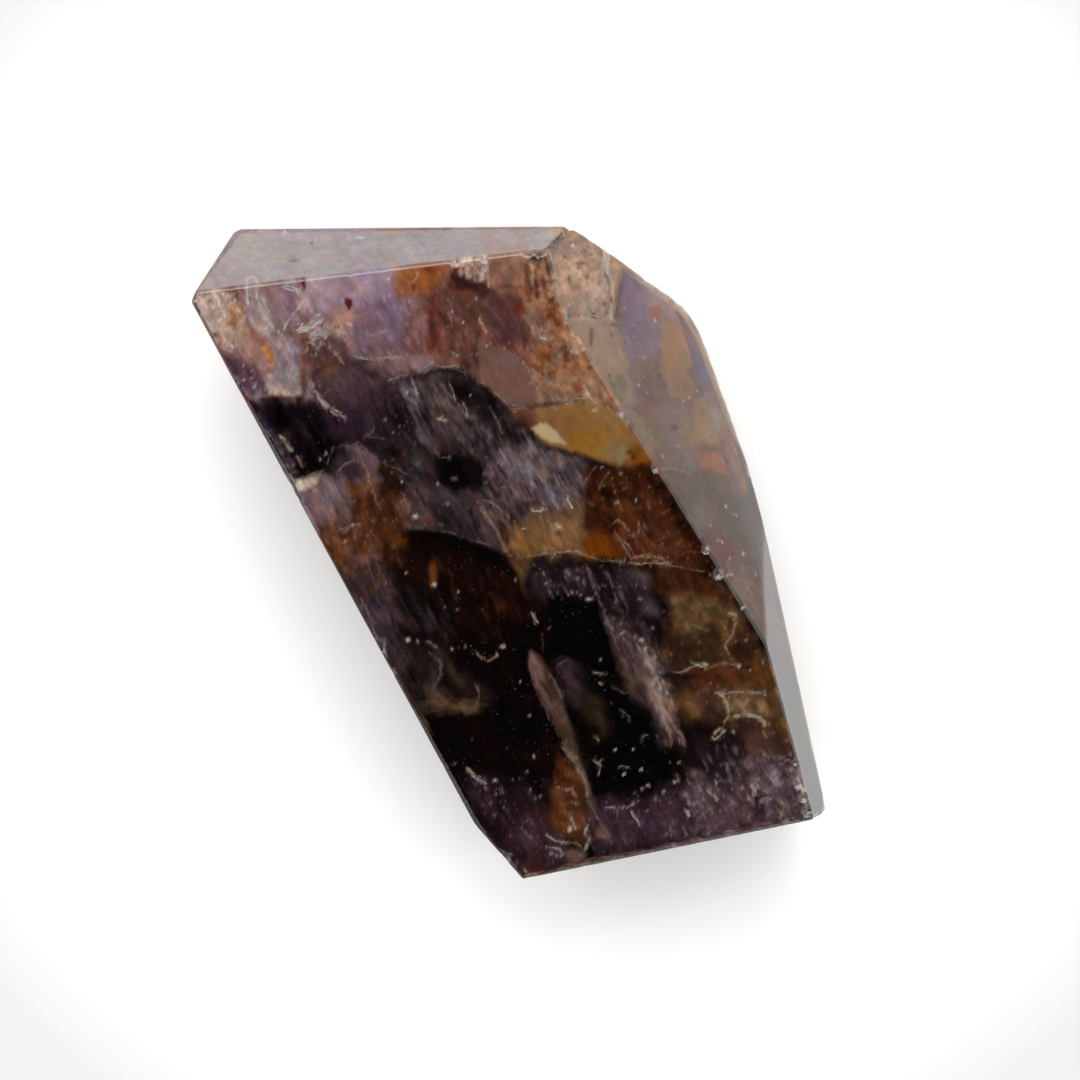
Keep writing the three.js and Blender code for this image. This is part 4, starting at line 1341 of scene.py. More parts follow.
def texture_lower(c):
    """The deep zone under the golden edge and what lies round it."""
    c.on("main")
    haze = [(340, 575), (400, 585), (450, 600), (446, 640), (400, 690), (385, 660)]
    c.blotches(haze, 40, [SMOKE, BLACK, (84, 72, 78), CHAR], 70, 5, 14, 0.6)
    c.strands(haze, 150, [(92, 80, 86), (76, 64, 70), SMOKE, BLACK], 21, 26, 1.9, 66, 0.55)
    rim = [(325, 562), (345, 580), (400, 690), (388, 672), (352, 612)]
    c.strands(rim, 50, [(140, 126, 138), DULL, (112, 98, 112)], 120, 20, 1.6, 64, 0.6)
    deep = [(405, 540), (500, 560), (545, 600), (560, 760), (540, 800), (450, 770), (400, 690)]
    c.blotches(deep, 80, [BLACK, BLACK, (20, 8, 5), BLACK], 71, 8, 24, 0.7)
    c.strands(deep, 90, [(34, 15, 9), (46, 22, 12), BLACK, BLACK], 22, 36, 3.6, 66, 0.45)
    c.dots(deep, 16, [DULL, PINKISH, SMOKE], 24, 0.6, 1.2, 0.5)
    rust_left = [(400, 548), (440, 560), (470, 610), (440, 626), (408, 600)]
    c.strands(rust_left, 40, [(104, 58, 24), (62, 32, 16), BLACK], 121, 22, 3.0, 70, 0.5)
    rust_right = [(478, 560), (520, 580), (530, 650), (480, 640)]
    c.strands(rust_right, 40, [(66, 34, 16), (48, 24, 12), BLACK], 25, 26, 3.4, 66, 0.55)
    low_left = [(388, 655), (440, 650), (480, 690), (500, 716), (430, 720), (404, 700)]
    c.blotches(low_left, 24, [(74, 60, 50), CHAR, (50, 36, 28)], 122, 5, 14, 0.55)
    c.strands(low_left, 50, [(96, 80, 66), (60, 46, 36), BLACK], 123, 18, 1.8, 96, 0.5)
    shelf = [(404, 692), (480, 698), (478, 712), (412, 714)]
    c.strands(shelf, 36, [(112, 88, 62), (84, 62, 40)], 124, 24, 2.2, 4, 0.55)
    honey = [(480, 515), (580, 505), (585, 552), (510, 555)]
    c.blotches(honey, 40, [(146, 108, 68), (90, 60, 38), (100, 80, 68), HONEY], 72, 4, 11, 0.5)
    c.strands(honey, 90, [(154, 120, 82), HONEY, (84, 56, 36)], 26, 20, 1.7, 64, 0.5)
    bark = [(585, 472), (655, 476), (715, 570), (660, 563), (620, 560), (590, 525)]
    c.blotches(bark, 70, [BARK, COCOA, (92, 46, 16), BLACK, (28, 14, 8)], 73, 4, 12, 0.6)
    c.strands(bark, 100, [(88, 46, 20), (24, 10, 6), COCOA], 27, 20, 2.6, 58, 0.55)
    c.strands(bark, 40, [PINKISH, (120, 88, 74)], 28, 14, 1.3, 72, 0.5)
    c.dots(bark, 90, [PINKISH, (150, 116, 96)], 29, 0.7, 1.8, 0.55)
    band = [(530, 560), (640, 565), (660, 640), (684, 745), (660, 745), (600, 620), (545, 600)]
    c.blotches(band, 50, [NIGHT, SMOKE, BLACK, (104, 92, 92), DUSK], 74, 4, 12, 0.5)
    c.strands(band, 220, [(88, 76, 80), (124, 112, 110), SMOKE, NIGHT], 30, 26, 1.7, 64, 0.55)
    c.dots(band, 110, [DULL, PALE, PINKISH, WHITE], 31, 0.7, 1.9, 0.55)
    bright = [(640, 640), (656, 650), (674, 700), (684, 742), (664, 730), (646, 690)]
    c.strands(bright, 70, [PALE, (160, 140, 132), MAUVE, (150, 122, 104)], 32, 20, 1.7, 68, 0.65)
    gap = [(600, 680), (640, 705), (665, 750), (680, 785), (610, 790), (585, 745)]
    c.dots(gap, 12, [DULL, PALE, SMOKE], 33, 0.6, 1.2, 0.5)
    olive = [(662, 580), (722, 582), (770, 660), (792, 745), (700, 722), (668, 690)]
    c.blotches(olive, 80, [OLIVE, BARK, (104, 78, 48), (58, 40, 26)], 75, 4, 12, 0.5)
    c.strands(olive, 80, [(114, 88, 54), (48, 30, 20), (100, 66, 40)], 35, 18, 2.2, 8, 0.45)
    c.dots(olive, 70, [PINKISH, BONE, (40, 24, 16)], 37, 0.7, 1.8, 0.45)
    orange = [(552, 755), (578, 775), (588, 830), (560, 840)]
    c.strands(orange, 50, [(120, 74, 34), (56, 30, 16)], 42, 12, 2.0, 75, 0.45)
    c.strands(orange, 24, [(44, 22, 12), PINKISH], 125, 14, 1.6, 12, 0.55)


def texture_bottom(c):
    """The purple foot of the stone and its speckled corner."""
    c.on("main")
    bottom = [(440, 770), (545, 780), (590, 800), (690, 780), (800, 760), (806, 820),
              (523, 878)]
    c.blotches(bottom, 110, [(70, 48, 64), DEEP_PURPLE, NIGHT, (60, 42, 56)], 76, 5, 15, 0.5)
    c.strands(bottom, 160, [(92, 72, 88), VEIL_GREY, DEEP_PURPLE, NIGHT], 38, 16, 1.9, 66, 0.45)
    c.dots(bottom, 170, [DULL, PALE, (120, 108, 124)], 39, 0.7, 2.0, 0.55)
    speckled = [(722, 740), (800, 760), (808, 820), (700, 842), (690, 785)]
    c.blotches(speckled, 60, [(124, 108, 112), (84, 66, 80), (58, 42, 50)], 126, 3, 9, 0.55)
    c.strands(speckled, 170, [(150, 134, 136), (118, 104, 118), DEEP_PURPLE], 40, 12, 2.0, 60, 0.6)
    c.strands(speckled, 50, [(160, 142, 142), (128, 112, 122)], 127, 12, 1.8, -30, 0.5)
    c.dots(speckled, 130, [PALE, (140, 130, 146), DEEP_PURPLE], 41, 0.8, 2.4, 0.6)
    webs = [(596, 796), (700, 784), (706, 850), (600, 868)]
    c.strands(webs, 60, [(128, 112, 124), (96, 78, 96), NIGHT], 128, 14, 1.4, 58, 0.5)
    c.strands(webs, 30, [(128, 112, 124), (104, 88, 104)], 129, 14, 1.3, -20, 0.45)


def texture_faces(c):
    """Faint clouds, lines and specks of the tilted faces, and the crust's pits."""
    c.on("crust")
    crust = [(545, 225), (600, 235), (614, 320), (566, 322)]
    c.blotches(crust, 50, [(186, 152, 128), (158, 120, 96), (176, 146, 126)], 77, 4, 10, 0.5)
    c.dots(crust, 40, [(124, 76, 50), (136, 92, 64), (112, 66, 44)], 43, 0.9, 2.6, 0.65)
    c.dots(crust, 40, [(212, 184, 160), BONE], 44, 1.0, 2.2, 0.45)
    c.on("tip")
    tip = [(200, 230), (560, 226), (546, 250), (196, 292)]
    c.blotches(tip, 26, [(196, 188, 188), (164, 152, 150), (172, 160, 168)], 78, 12, 34, 0.4)
    c.dots(tip, 40, [WHITE, (150, 136, 132)], 45, 0.6, 1.3, 0.5)
    c.strands(tip, 40, [(196, 188, 188), (160, 148, 146)], 46, 60, 9, -8, 0.35)
    c.on("shoulder")
    shoulder = [(610, 250), (680, 305), (725, 461), (766, 585), (766, 645), (606, 385)]
    c.blotches(shoulder, 60, [(144, 126, 128), (118, 104, 100), (150, 122, 100), (104, 92, 88)],
               79, 5, 16, 0.35)
    c.strands(shoulder, 80, [(158, 142, 138), (98, 86, 84), (148, 120, 100)], 47, 26, 3, 68, 0.3)
    c.dots(shoulder, 60, [WHITE, (160, 142, 130), (92, 76, 68)], 48, 0.7, 1.7, 0.5)
    c.on("flank")
    flank = [(680, 303), (720, 340), (762, 500), (764, 585), (725, 461), (685, 335)]
    c.blotches(flank, 40, [(156, 138, 138), (132, 116, 122), (152, 122, 102)], 80, 5, 14, 0.4)
    c.strands(flank, 40, [(174, 158, 156), (122, 106, 104)], 49, 26, 3, 72, 0.3)


def paint_over(c):
    """Smooth patches with firm rims that the streaks don't cross."""
    lay_areas(c, "main", SMOOTH_AREAS)
    for specks in SMOOTH_SPECKS:
        c.dots(*specks)
    c.strands(CRUST_SIDE, 40, [(70, 40, 30), (54, 30, 24), (160, 128, 106)], 134, 22, 2.6, 86, 0.7)


# How strongly stains and grains cover what is under them, how much smaller the grains are
# painted than their lumps are made, and the first crack's seed
STAIN_COVER = 0.75
GRAIN_COVER = 0.7
GRAIN_SHRINK = 0.75
CRACK_SEED = 200


def paint_marks(c):
    """The single stains, cracks and grains, each at its own place, and the painted edge highlights.
    """
    veins_and_highlights = UPPER_VEINS + MIDDLE_VEINS + LOWER_VEINS + FACE_VEINS_AND_EDGE_HIGHLIGHTS
    c.everywhere()
    for place, size, colour in STAINS:
        c.spot(place, size, colour, amount=STAIN_COVER, soft=0.7)
    # Some of these paths are painted highlights along edges, drawn like the cracks.
    for number, (path, width, colour) in enumerate(veins_and_highlights):
        c.crack_or_edge_highlight(path, width, colour, CRACK_SEED + number)
    for place, size, colour in GRAINS:
        long, short = size if isinstance(size, tuple) else (size, size)
        c.spot(place, (GRAIN_SHRINK * long, GRAIN_SHRINK * short), colour, amount=GRAIN_COVER)
    c.on("main")
    # Painted highlights along the main face's bottom and left edges
    c.line(BOTTOM_EDGE_HIGHLIGHT, 2.2, PINKISH, 0.6)
    c.line(LEFT_EDGE_HIGHLIGHT, 2.0, DULL, 0.45)


# How strongly pale and dark threads, iron and mottling show, the threads' spacing across and
# along the way of growth, and which way mottling and tone turn red, green and blue
PALE_THREADS = 0.42
DARK_THREADS = 0.45
IRON_CLOUDS = 0.4
MOTTLING = 0.5
THREAD_SPACING = (3.2, 26)
MOTTLE_TURN = (0.10, -0.02, -0.16)
TONE_TURN = (0.02, -0.01, 0.03)

# Mottling: share, size in px and seed of each layer
MOTTLE_LAYERS = ((0.4, 24, 85), (0.35, 9, 86), (0.35, 4, 90))


def weather(c):
    """Fine unevenness over everything, stronger where the marks say so."""
    along = c.pixels @ GROWTH_WAY
    across = c.pixels @ np.array([-GROWTH_WAY[1], GROWTH_WAY[0]])
    sway = 5 * ripples(c.pixels, 40, 81)
    threads = np.stack([(across + sway) / THREAD_SPACING[0], along / THREAD_SPACING[1]], 1)
    veil = c.marks["veil"] * ease(ripples(threads, 1.6, 82), 0.0, 0.75)
    c.colour += PALE_THREADS * veil[:, None] * (np.array(DULL) - c.colour)
    dark = c.marks["veil"] * ease(ripples(threads + 40, 1.6, 83), 0.1, 0.8)
    c.colour *= 1 - DARK_THREADS * dark[:, None]
    clouds = ease(ripples(c.pixels, 15, 84), 0.05, 0.7) * c.marks["iron"]
    c.colour += IRON_CLOUDS * clouds[:, None] * (np.array(RUST) - c.colour)
    warm = ripples(c.pixels, 26, 88) * 0.6 + ripples(c.pixels, 9, 89) * 0.4
    c.colour *= 1 + (c.marks["mottle"] * warm)[:, None] * np.array(MOTTLE_TURN)
    blotch = sum(share * ripples(c.pixels, size, seed) for share, size, seed in MOTTLE_LAYERS)
    c.colour *= 1 + MOTTLING * (c.marks["mottle"] * blotch)[:, None]
    tone = ripples(c.pixels, 30, 87)[:, None] * np.array(TONE_TURN)
    c.colour *= 1 + tone


LAYERS = (
    paint_zones, texture_upper, texture_tan, texture_middle, texture_lower, texture_bottom,
    texture_faces, paint_over, weather, paint_marks,
)


def painted(pixels):
    """The stone's colours and marks at these photo positions."""
    canvas = Canvas(pixels)
    for layer in LAYERS:
        layer(canvas)
    np.clip(canvas.colour, 0, 255, out=canvas.colour)
    return canvas


# From looks to materials

# Polished quartz lets this share of the light from the zones out, and sends this share back
LET_OUT = 0.38
SENT_BACK = 0.6
DARKEST_LOOK = 0.0006
ALBEDO_RANGE = (0.0004, 0.92)
CRUST_GLOSS = 0.1


def linear(colour):
    """Linear light from a display colour of 0 to 255."""
    shown = np.clip(np.asarray(colour, float) / 255, 0, 1)
    return np.where(shown <= 0.04045, shown / 12.92, ((shown + 0.055) / 1.055) ** 2.4)


def under_quartz(shown, gloss):
    """The bare surface colour that looks like shown once polished quartz lies over it."""
    wanted = np.maximum(linear(shown) - gloss[:, None], DARKEST_LOOK) / LIGHT_ON_STONE
    return np.clip(wanted / (LET_OUT + SENT_BACK * wanted), *ALBEDO_RANGE)


def face_gloss(pixels):
    """How much light the face over each photo position mirrors from the floor."""
    _, face = outside_at(pixels)
    tilt = np.degrees(np.arccos(np.clip(NORMALS[face][:, 2], -1, 1)))
    gloss = np.interp(tilt, GLOSS_BY_TILT[0], GLOSS_BY_TILT[1])
    return np.where(np.isin(face, CRUST), CRUST_GLOSS, gloss)


# The skin's damage and crust

# Chips: photo position, radius of the ball each is struck from and how deep it bites, in mm
CHIPS = [
    ((600, 249), 1.6, 0.34), ((607, 251), 0.7, 0.14), ((294, 486), 0.8, 0.14),
    ((300, 497), 0.5, 0.08), ((503, 857), 0.9, 0.16), ((541, 251), 0.6, 0.16),
    ((528, 253), 0.5, 0.10), ((484, 258), 0.3, 0.07), ((455, 262), 0.4, 0.07),
    ((567, 232), 0.7, 0.16), ((572, 228), 0.5, 0.12), ((799, 783), 0.6, 0.10),
    ((803, 797), 0.5, 0.10), ((808, 811), 0.6, 0.12), ((795, 762), 0.4, 0.07),
    ((778, 690), 0.4, 0.06), ((718, 573), 0.5, 0.09), ((706, 549), 0.4, 0.08),
    ((655, 468), 0.4, 0.06), ((621, 412), 0.4, 0.06), ((573, 331), 0.4, 0.07),
    ((194, 296), 0.5, 0.10), ((213, 340), 0.4, 0.07), ((236, 380), 0.5, 0.07),
    ((265, 434), 0.5, 0.08), ((391, 673), 0.5, 0.09), ((384, 655), 0.4, 0.07),
    ((442, 765), 0.5, 0.08), ((413, 712), 0.4, 0.06), ((585, 868), 0.5, 0.08),
    ((530, 878), 0.7, 0.12), ((700, 842), 0.4, 0.06), ((826, 806), 0.8, 0.20),
    ((761, 500), 0.5, 0.06), ((737, 425), 0.4, 0.05), ((350, 273), 0.3, 0.05),
    ((684, 334), 0.3, 0.05), ((725, 461), 0.3, 0.05), ((236, 229), 0.5, 0.10),
]
CHIP_MARGIN = 0.1
CHIP_UNEVENNESS = 0.03
CHIP_GRAIN = 0.35
CHIP_ROUNDING = 0.02

# The crust: its middle in the photo, how far it reaches in mm, the px over which its rim
# rises and the heights in mm over which its foot does
CRUST_MIDDLE = (575, 275)
CRUST_REACH = ((-4.5, -4.5, -8), (4.5, 4.5, 2))
CRUST_RIM = (-3, 5)
CRUST_FOOT = (10, 12)

# Its relief: height and size in mm and seed of its swells and pits, and where pits begin
CRUST_SWELLS = ((0.05, 1.6, 91), (0.05, 0.6, 92))
CRUST_PITS = ((0.07, 0.55, 93, 0.62), (0.03, 0.3, 94, 0.66))
PIT_FLOOR = 0.85


def make_chips():
    """Centre and radius of the ball that each chip is struck from."""
    places = np.array([place for place, _, _ in CHIPS], float)
    on_edge, _ = outside_at(places)
    on_edge = settle(plain_skin_field, on_edge)
    outward = slope_of(plain_skin_field, on_edge)
    outward /= np.linalg.norm(outward, axis=1)[:, None]
    return [
        (spot + way * (radius - bite), radius)
        for spot, way, (_, radius, bite) in zip(on_edge, outward, CHIPS)
    ]


def crust_relief(points):
    """How far the natural crust lies under its plain faces: swells, pits and a ragged rim."""
    pixels = to_photo(points)
    lift = ease(edge_distance(pixels, CRUST_PATCH), *CRUST_RIM) * ease(points[:, 2], *CRUST_FOOT)
    relief = sum(
        height * (1 + ripples(points, size, seed)) for height, size, seed in CRUST_SWELLS
    )
    relief += sum(
        height * ease(bumps(points, size, seed), begins, PIT_FLOOR)
        for height, size, seed, begins in CRUST_PITS
    )
    return lift * relief


def skin_field(points):
    """Distance to the stone's outside with its chips and its crust."""
    distance = plain_skin_field(points)
    low, high = CRUST_BOX
    near = np.flatnonzero(((points > low) & (points < high)).all(1))
    if len(near):
        distance[near] += crust_relief(points[near])
    for centre, radius in CHIP_BALLS:
        near = np.flatnonzero((np.abs(points - centre) < radius + CHIP_MARGIN).all(1))
        if len(near):
            inside = radius - np.linalg.norm(points[near] - centre, axis=1)
            uneven = CHIP_UNEVENNESS * ripples(points[near], CHIP_GRAIN, 95)
            both = np.stack([distance[near], inside + uneven])
            distance[near] = smooth_max(both, CHIP_ROUNDING)
    return distance


CHIP_BALLS = make_chips()
CRUST_BOX = from_photo(np.array([CRUST_MIDDLE]), MAIN_FACE_Z) + np.array(CRUST_REACH)


# Materials

SKIN_ROUGHNESS = 0.03
ABSORBED_COLOUR = (0.85, 0.80, 0.82, 1)
ABSORBED_DENSITY = 60.0
CRUST_ROUGHNESS = 0.8
ZONES_ROUGHNESS = 0.6
VEINS_ROUGHNESS = 0.5
WARM = (1.12, 0.97, 0.84, 1)
COOL = (0.92, 1.01, 1.14, 1)
FLECK_COLOUR = (0.5, 0.46, 0.44, 1)
FLECK_SPACING = 0.35
FIBRE_SIZE = 0.14
CLOUD_SIZE = 0.6
GRIT_SIZE = 0.22


def new_material(name):
    material = bpy.data.materials.new(name)
    material.use_nodes = True
    tree = material.node_tree
    return material, tree, tree.nodes["Principled BSDF"]


def add_node(tree, kind, inputs=(), **settings):
    """A node with its settings, and its inputs as numbers or as links from other nodes."""
    node = tree.nodes.new("ShaderNode" + kind)
    for name, value in settings.items():
        setattr(node, name, value)
    for name, value in dict(inputs).items():
        if isinstance(value, bpy.types.NodeSocket):
            tree.links.new(value, node.inputs[name])
        else:
            node.inputs[name].default_value = value
    return node


def vertex_value(tree, name, output="Fac"):
    return add_node(tree, "Attribute", attribute_name=name).outputs[output]


def noise_on(tree, size, detail=3.0, stretch=(1, 1, 1)):
    """Noise with bumps of this size in millimetres, drawn out along an axis by stretch."""
    place = add_node(tree, "TexCoord").outputs["Object"]
    scale = tuple(1 / (size * MM * s) for s in stretch)
    mapped = add_node(tree, "Mapping", {"Vector": place, "Scale": scale})
    noise = add_node(tree, "TexNoise", {"Vector": mapped.outputs[0], "Scale": 1.0, "Detail": detail})
    return noise.outputs["Fac"]


def between(tree, value, low, high, bottom=0.0, top=1.0):
    """Value brought from the range low to high into the range bottom to top."""
    return add_node(tree, "MapRange", {
        "Value": value, "From Min": low, "From Max": high, "To Min": bottom, "To Max": top,
    }).outputs["Result"]


def times(tree, one, other):
    return add_node(tree, "Math", {0: one, 1: other}, operation="MULTIPLY").outputs[0]


def mixed(tree, share, first, second, blend="MIX"):
    """Two colours, or a colour and a link, mixed by share."""
    node = add_node(tree, "Mix", data_type="RGBA", blend_type=blend, clamp_factor=True)
    for socket, value in ((0, share), (6, first), (7, second)):
        if isinstance(value, bpy.types.NodeSocket):
            tree.links.new(value, node.inputs[socket])
        else:
            node.inputs[socket].default_value = value
    return node.outputs[2]


def varied(tree, colour, noise, strength):
    """Colour made lighter and darker by a noise, about twofold each way at full strength."""
    swing = times(tree, between(tree, noise, 0.3, 0.7, -1.0, 1.0), strength)
    factor = add_node(tree, "Math", {0: 2.0, 1: swing}, operation="POWER").outputs[0]
    return mixed(tree, 1.0, colour, factor, "MULTIPLY")


def bump_from(tree, height, distance, strength=1.0):
    return add_node(tree, "Bump", {
        "Height": height, "Distance": distance * MM, "Strength": strength,
    }).outputs["Normal"]


def skin_material():
    """Clear polished quartz, and the dull natural crust at one corner of the point."""
    material, tree, clear = new_material("clear_quartz")
    clear.inputs["Base Color"].default_value = (1, 1, 1, 1)
    clear.inputs["Roughness"].default_value = SKIN_ROUGHNESS
    clear.inputs["IOR"].default_value = QUARTZ_IOR
    clear.inputs["Transmission Weight"].default_value = 1
    scuffs = noise_on(tree, 2.0, 1, (1, 3, 1))
    tree.links.new(bump_from(tree, scuffs, 0.004, 0.3), clear.inputs["Normal"])
    crust = add_node(tree, "BsdfPrincipled", {
        "Roughness": CRUST_ROUGHNESS, "IOR": QUARTZ_IOR,
    })
    grit = noise_on(tree, GRIT_SIZE, 5)
    tint = vertex_value(tree, "tint", "Color")
    lit = between(tree, grit, 0.3, 0.7, 0.84, 1.14)
    tree.links.new(mixed(tree, 1.0, tint, lit, "MULTIPLY"), crust.inputs["Base Color"])
    tree.links.new(bump_from(tree, grit, 0.02, 0.5), crust.inputs["Normal"])
    both = add_node(tree, "MixShader", {0: vertex_value(tree, "crust")})
    tree.links.new(clear.outputs[0], both.inputs[1])
    tree.links.new(crust.outputs[0], both.inputs[2])
    output = tree.nodes["Material Output"]
    tree.links.new(both.outputs[0], output.inputs["Surface"])
    absorption = add_node(tree, "VolumeAbsorption", {
        "Color": ABSORBED_COLOUR, "Density": ABSORBED_DENSITY,
    })
    tree.links.new(absorption.outputs[0], output.inputs["Volume"])
    return material


def zones_material():
    """The zones: their painted colour, broken up by fibres, clouds and white flecks."""
    material, tree, shader = new_material("growth_zones")
    shader.inputs["Roughness"].default_value = ZONES_ROUGHNESS
    shader.inputs["Specular IOR Level"].default_value = 0
    colour = vertex_value(tree, "tint", "Color")
    fibres = noise_on(tree, FIBRE_SIZE, 5, (1, 8, 2))
    clouds = noise_on(tree, CLOUD_SIZE, 5, (1, 1.8, 1))
    for noise, mark in ((fibres, "veil"), (clouds, "mottle")):
        strength = between(tree, vertex_value(tree, mark), 0, 1, 0.05, 0.75)
        colour = varied(tree, colour, noise, strength)
    warm = between(tree, noise_on(tree, 0.8, 4, (1, 2, 1)), 0.3, 0.7)
    hue = mixed(tree, warm, WARM, COOL)
    colour = mixed(tree, 1.0, colour, hue, "MULTIPLY")
    place = add_node(tree, "TexCoord").outputs["Object"]
    cells = add_node(tree, "TexVoronoi", {
        "Vector": place, "Scale": 1 / (FLECK_SPACING * MM),
    })
    fleck = between(tree, cells.outputs["Distance"], 0.10, 0.22, 1.0, 0.0)
    patch = between(tree, noise_on(tree, 1.2, 2), 0.5, 0.7)
    fleck = times(tree, times(tree, fleck, patch), vertex_value(tree, "fleck"))
    colour = mixed(tree, fleck, colour, FLECK_COLOUR)
    tree.links.new(colour, shader.inputs["Base Color"])
    tree.links.new(bump_from(tree, fibres, 0.06, 0.6), shader.inputs["Normal"])
    return material


def vein_material():
    """Healed cracks and grains: pale, fine-grained and a little uneven."""
    material, tree, shader = new_material("pale_veins")
    shader.inputs["Roughness"].default_value = VEINS_ROUGHNESS
    shader.inputs["Specular IOR Level"].default_value = 0
    tint = vertex_value(tree, "tint", "Color")
    shade = between(tree, noise_on(tree, 0.1, 3), 0.3, 0.7, 0.6, 1.3)
    tree.links.new(mixed(tree, 1.0, tint, shade, "MULTIPLY"), shader.inputs["Base Color"])
    return material


# The pieces

# The skin is finest this near to an upper edge, in mm, and this near to the crust, in px
EDGE_BAND = 0.5
FINE_EDGE_BAND = 0.16
UPPER_EDGES_OVER = 9
CRUST_MARGIN = 8

# The crust's material: how far a face has to look up, the px over which its rim fades in, and
# the rows of the photo between which it fades to the clear shoulder
CRUST_FACING = (0.15, 0.35)
CRUST_BLEND = (-1, 8)
CRUST_FADES = (285, 322)
CRUST_FADED = 0.8

# The zones: px over which they deepen from the main face's edge and under the crust, how far
# their top looks up, and the unevenness of their walls in mm
SHALLOW_MARGIN = (1, 14)
CRUST_SHADE = (-5, 5)
DEPTH_UNDER_CRUST = 0.6
TOP_FACING = (0.12, 0.3)
FINE_FACING = 0.2
WALL_UNEVENNESS = 0.12
WALL_GRAIN = (2, 0.5, 1)
HALF_WIDTH = 12
WALL_DRIFT = 26
DRIFT_SIZE = 6

# Cracks and grains: how strongly they cover the zones, how close to the skin they may come,
# how high their middles and rims stand over the zones in mm, and how far the cracks' flakes
# keep from the main face's edge in px
MARK_COVER = 0.65
LEAST_COVER = 0.06
FLAKE_LIFTS = [0.02, 0.06, 0.02]
FLAKE_STEP = 2.0
FLAKE_SWAY = 0.35
FLAKE_MARGIN = 2.4
GRAIN_LIFT = 0.12
GRAIN_RIM_LIFT = 0.03
GRAIN_SCALE = 0.65


def near_upper_edge(centres, _normals, reach=EDGE_BAND):
    """Where two of the upper faces meet, and the crust."""
    distances = NORMALS @ centres.T - OFFSETS[:, None]
    close = (np.abs(distances) < reach).sum(0) > 1
    crust = edge_distance(to_photo(centres), CRUST_PATCH) > -CRUST_MARGIN
    return (centres[:, 2] > UPPER_EDGES_OVER) & (close | crust)


def make_skin():
    """The clear outside, which stands for the whole CAD node."""
    mesh = even_blank(SKIN_VOXEL)
    set_coordinates(mesh, settle(plain_skin_field, coordinates(mesh)))
    refine(mesh, near_upper_edge, 2)
    set_coordinates(mesh, settle(plain_skin_field, coordinates(mesh), 3))
    refine(mesh, lambda centres, normals: near_upper_edge(centres, normals, FINE_EDGE_BAND), 1)
    points = settle(skin_field, coordinates(mesh), 4)
    set_coordinates(mesh, points)
    pixels = to_photo(points)
    canvas = painted(pixels)
    facing = ease(slope_of(plain_skin_field, points)[:, 2], *CRUST_FACING)
    fading = 1 - CRUST_FADED * ease(pixels[:, 1], *CRUST_FADES)
    crust = ease(edge_distance(canvas.fine, CRUST_PATCH), *CRUST_BLEND) * facing * fading
    add_values(mesh, "tint", linear(canvas.colour) / LIGHT_ON_STONE)
    add_values(mesh, "crust", crust)
    skin = make_piece("clear_quartz", mesh, skin_material())
    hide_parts("quartz_point")


def zone_depth(pixels):
    """How far the zones lie under their usual place, in millimetres."""
    canvas = Canvas(pixels)
    paint_zones(canvas)
    clear_of_edge = ease(edge_distance(pixels, MAIN_OUTLINE), *SHALLOW_MARGIN)
    under_crust = ease(edge_distance(pixels, CRUST_PATCH), *CRUST_SHADE)
    return canvas.marks["depth"] * clear_of_edge + DEPTH_UNDER_CRUST * under_crust


def drawn_inward(pixels, margin=8):
    """Photo positions moved toward the main face's middle until they lie on it."""
    middle = np.mean(MAIN_OUTLINE, 0)
    for _ in range(14):
        outside = edge_distance(pixels, MAIN_OUTLINE) < margin
        pixels = np.where(outside[:, None], pixels + 0.08 * (middle - pixels), pixels)
    return pixels


def make_zones():
    """The coloured inside, set where it shows through the skin as the photo has it."""
    mesh = even_blank(ZONES_VOXEL)
    set_coordinates(mesh, settle(zones_field, coordinates(mesh), 6))
    refine(mesh, lambda centres, normals: normals[:, 2] > FINE_FACING, 3)
    points = settle(zones_field, coordinates(mesh), 3)
    on_top = ease(slope_of(zones_field, points)[:, 2], *TOP_FACING)
    top = np.flatnonzero(on_top > 0)
    points[top, 2] -= on_top[top] * zone_depth(seen_at(points[top]))
    rugged = WALL_UNEVENNESS * (1 + ripples(points * WALL_GRAIN, 1.2, 96)) * (1 - on_top)
    points[:, :2] *= 1 - (rugged / HALF_WIDTH)[:, None]
    set_coordinates(mesh, points)
    colour = np.zeros((len(points), 3))
    marks = {name: np.zeros(len(points)) for name in MARKS}
    side = np.flatnonzero(on_top < 1)
    deep = MAIN_FACE_Z - points[side, 2]
    drift = np.stack([ripples(points[side], DRIFT_SIZE, seed) for seed in (97, 98)], 1)
    pixels = to_photo(points[side]) + WALL_DRIFT * drift * ease(deep, 0, 4)[:, None]
    canvas = Canvas(drawn_inward(pixels))
    paint_zones(canvas)
    weather(canvas)
    colour[side] = canvas.colour
    for name in MARKS:
        marks[name][side] = canvas.marks[name]
    canvas = painted(seen_at(points[top]))
    share = on_top[top]
    colour[top] += (canvas.colour - colour[top]) * share[:, None]
    for name in MARKS:
        marks[name][top] += (canvas.marks[name] - marks[name][top]) * share
    gloss = np.full(len(points), GLOSS_BY_TILT[1][0])
    gloss[top] = face_gloss(np.clip(canvas.pixels, 1, PHOTO_SIDE - 1)) * share
    add_values(mesh, "tint", under_quartz(colour, gloss))
    for name in ("veil", "mottle", "fleck"):
        add_values(mesh, name, np.clip(marks[name], 0, 1))
    make_piece("growth_zones", mesh, zones_material())


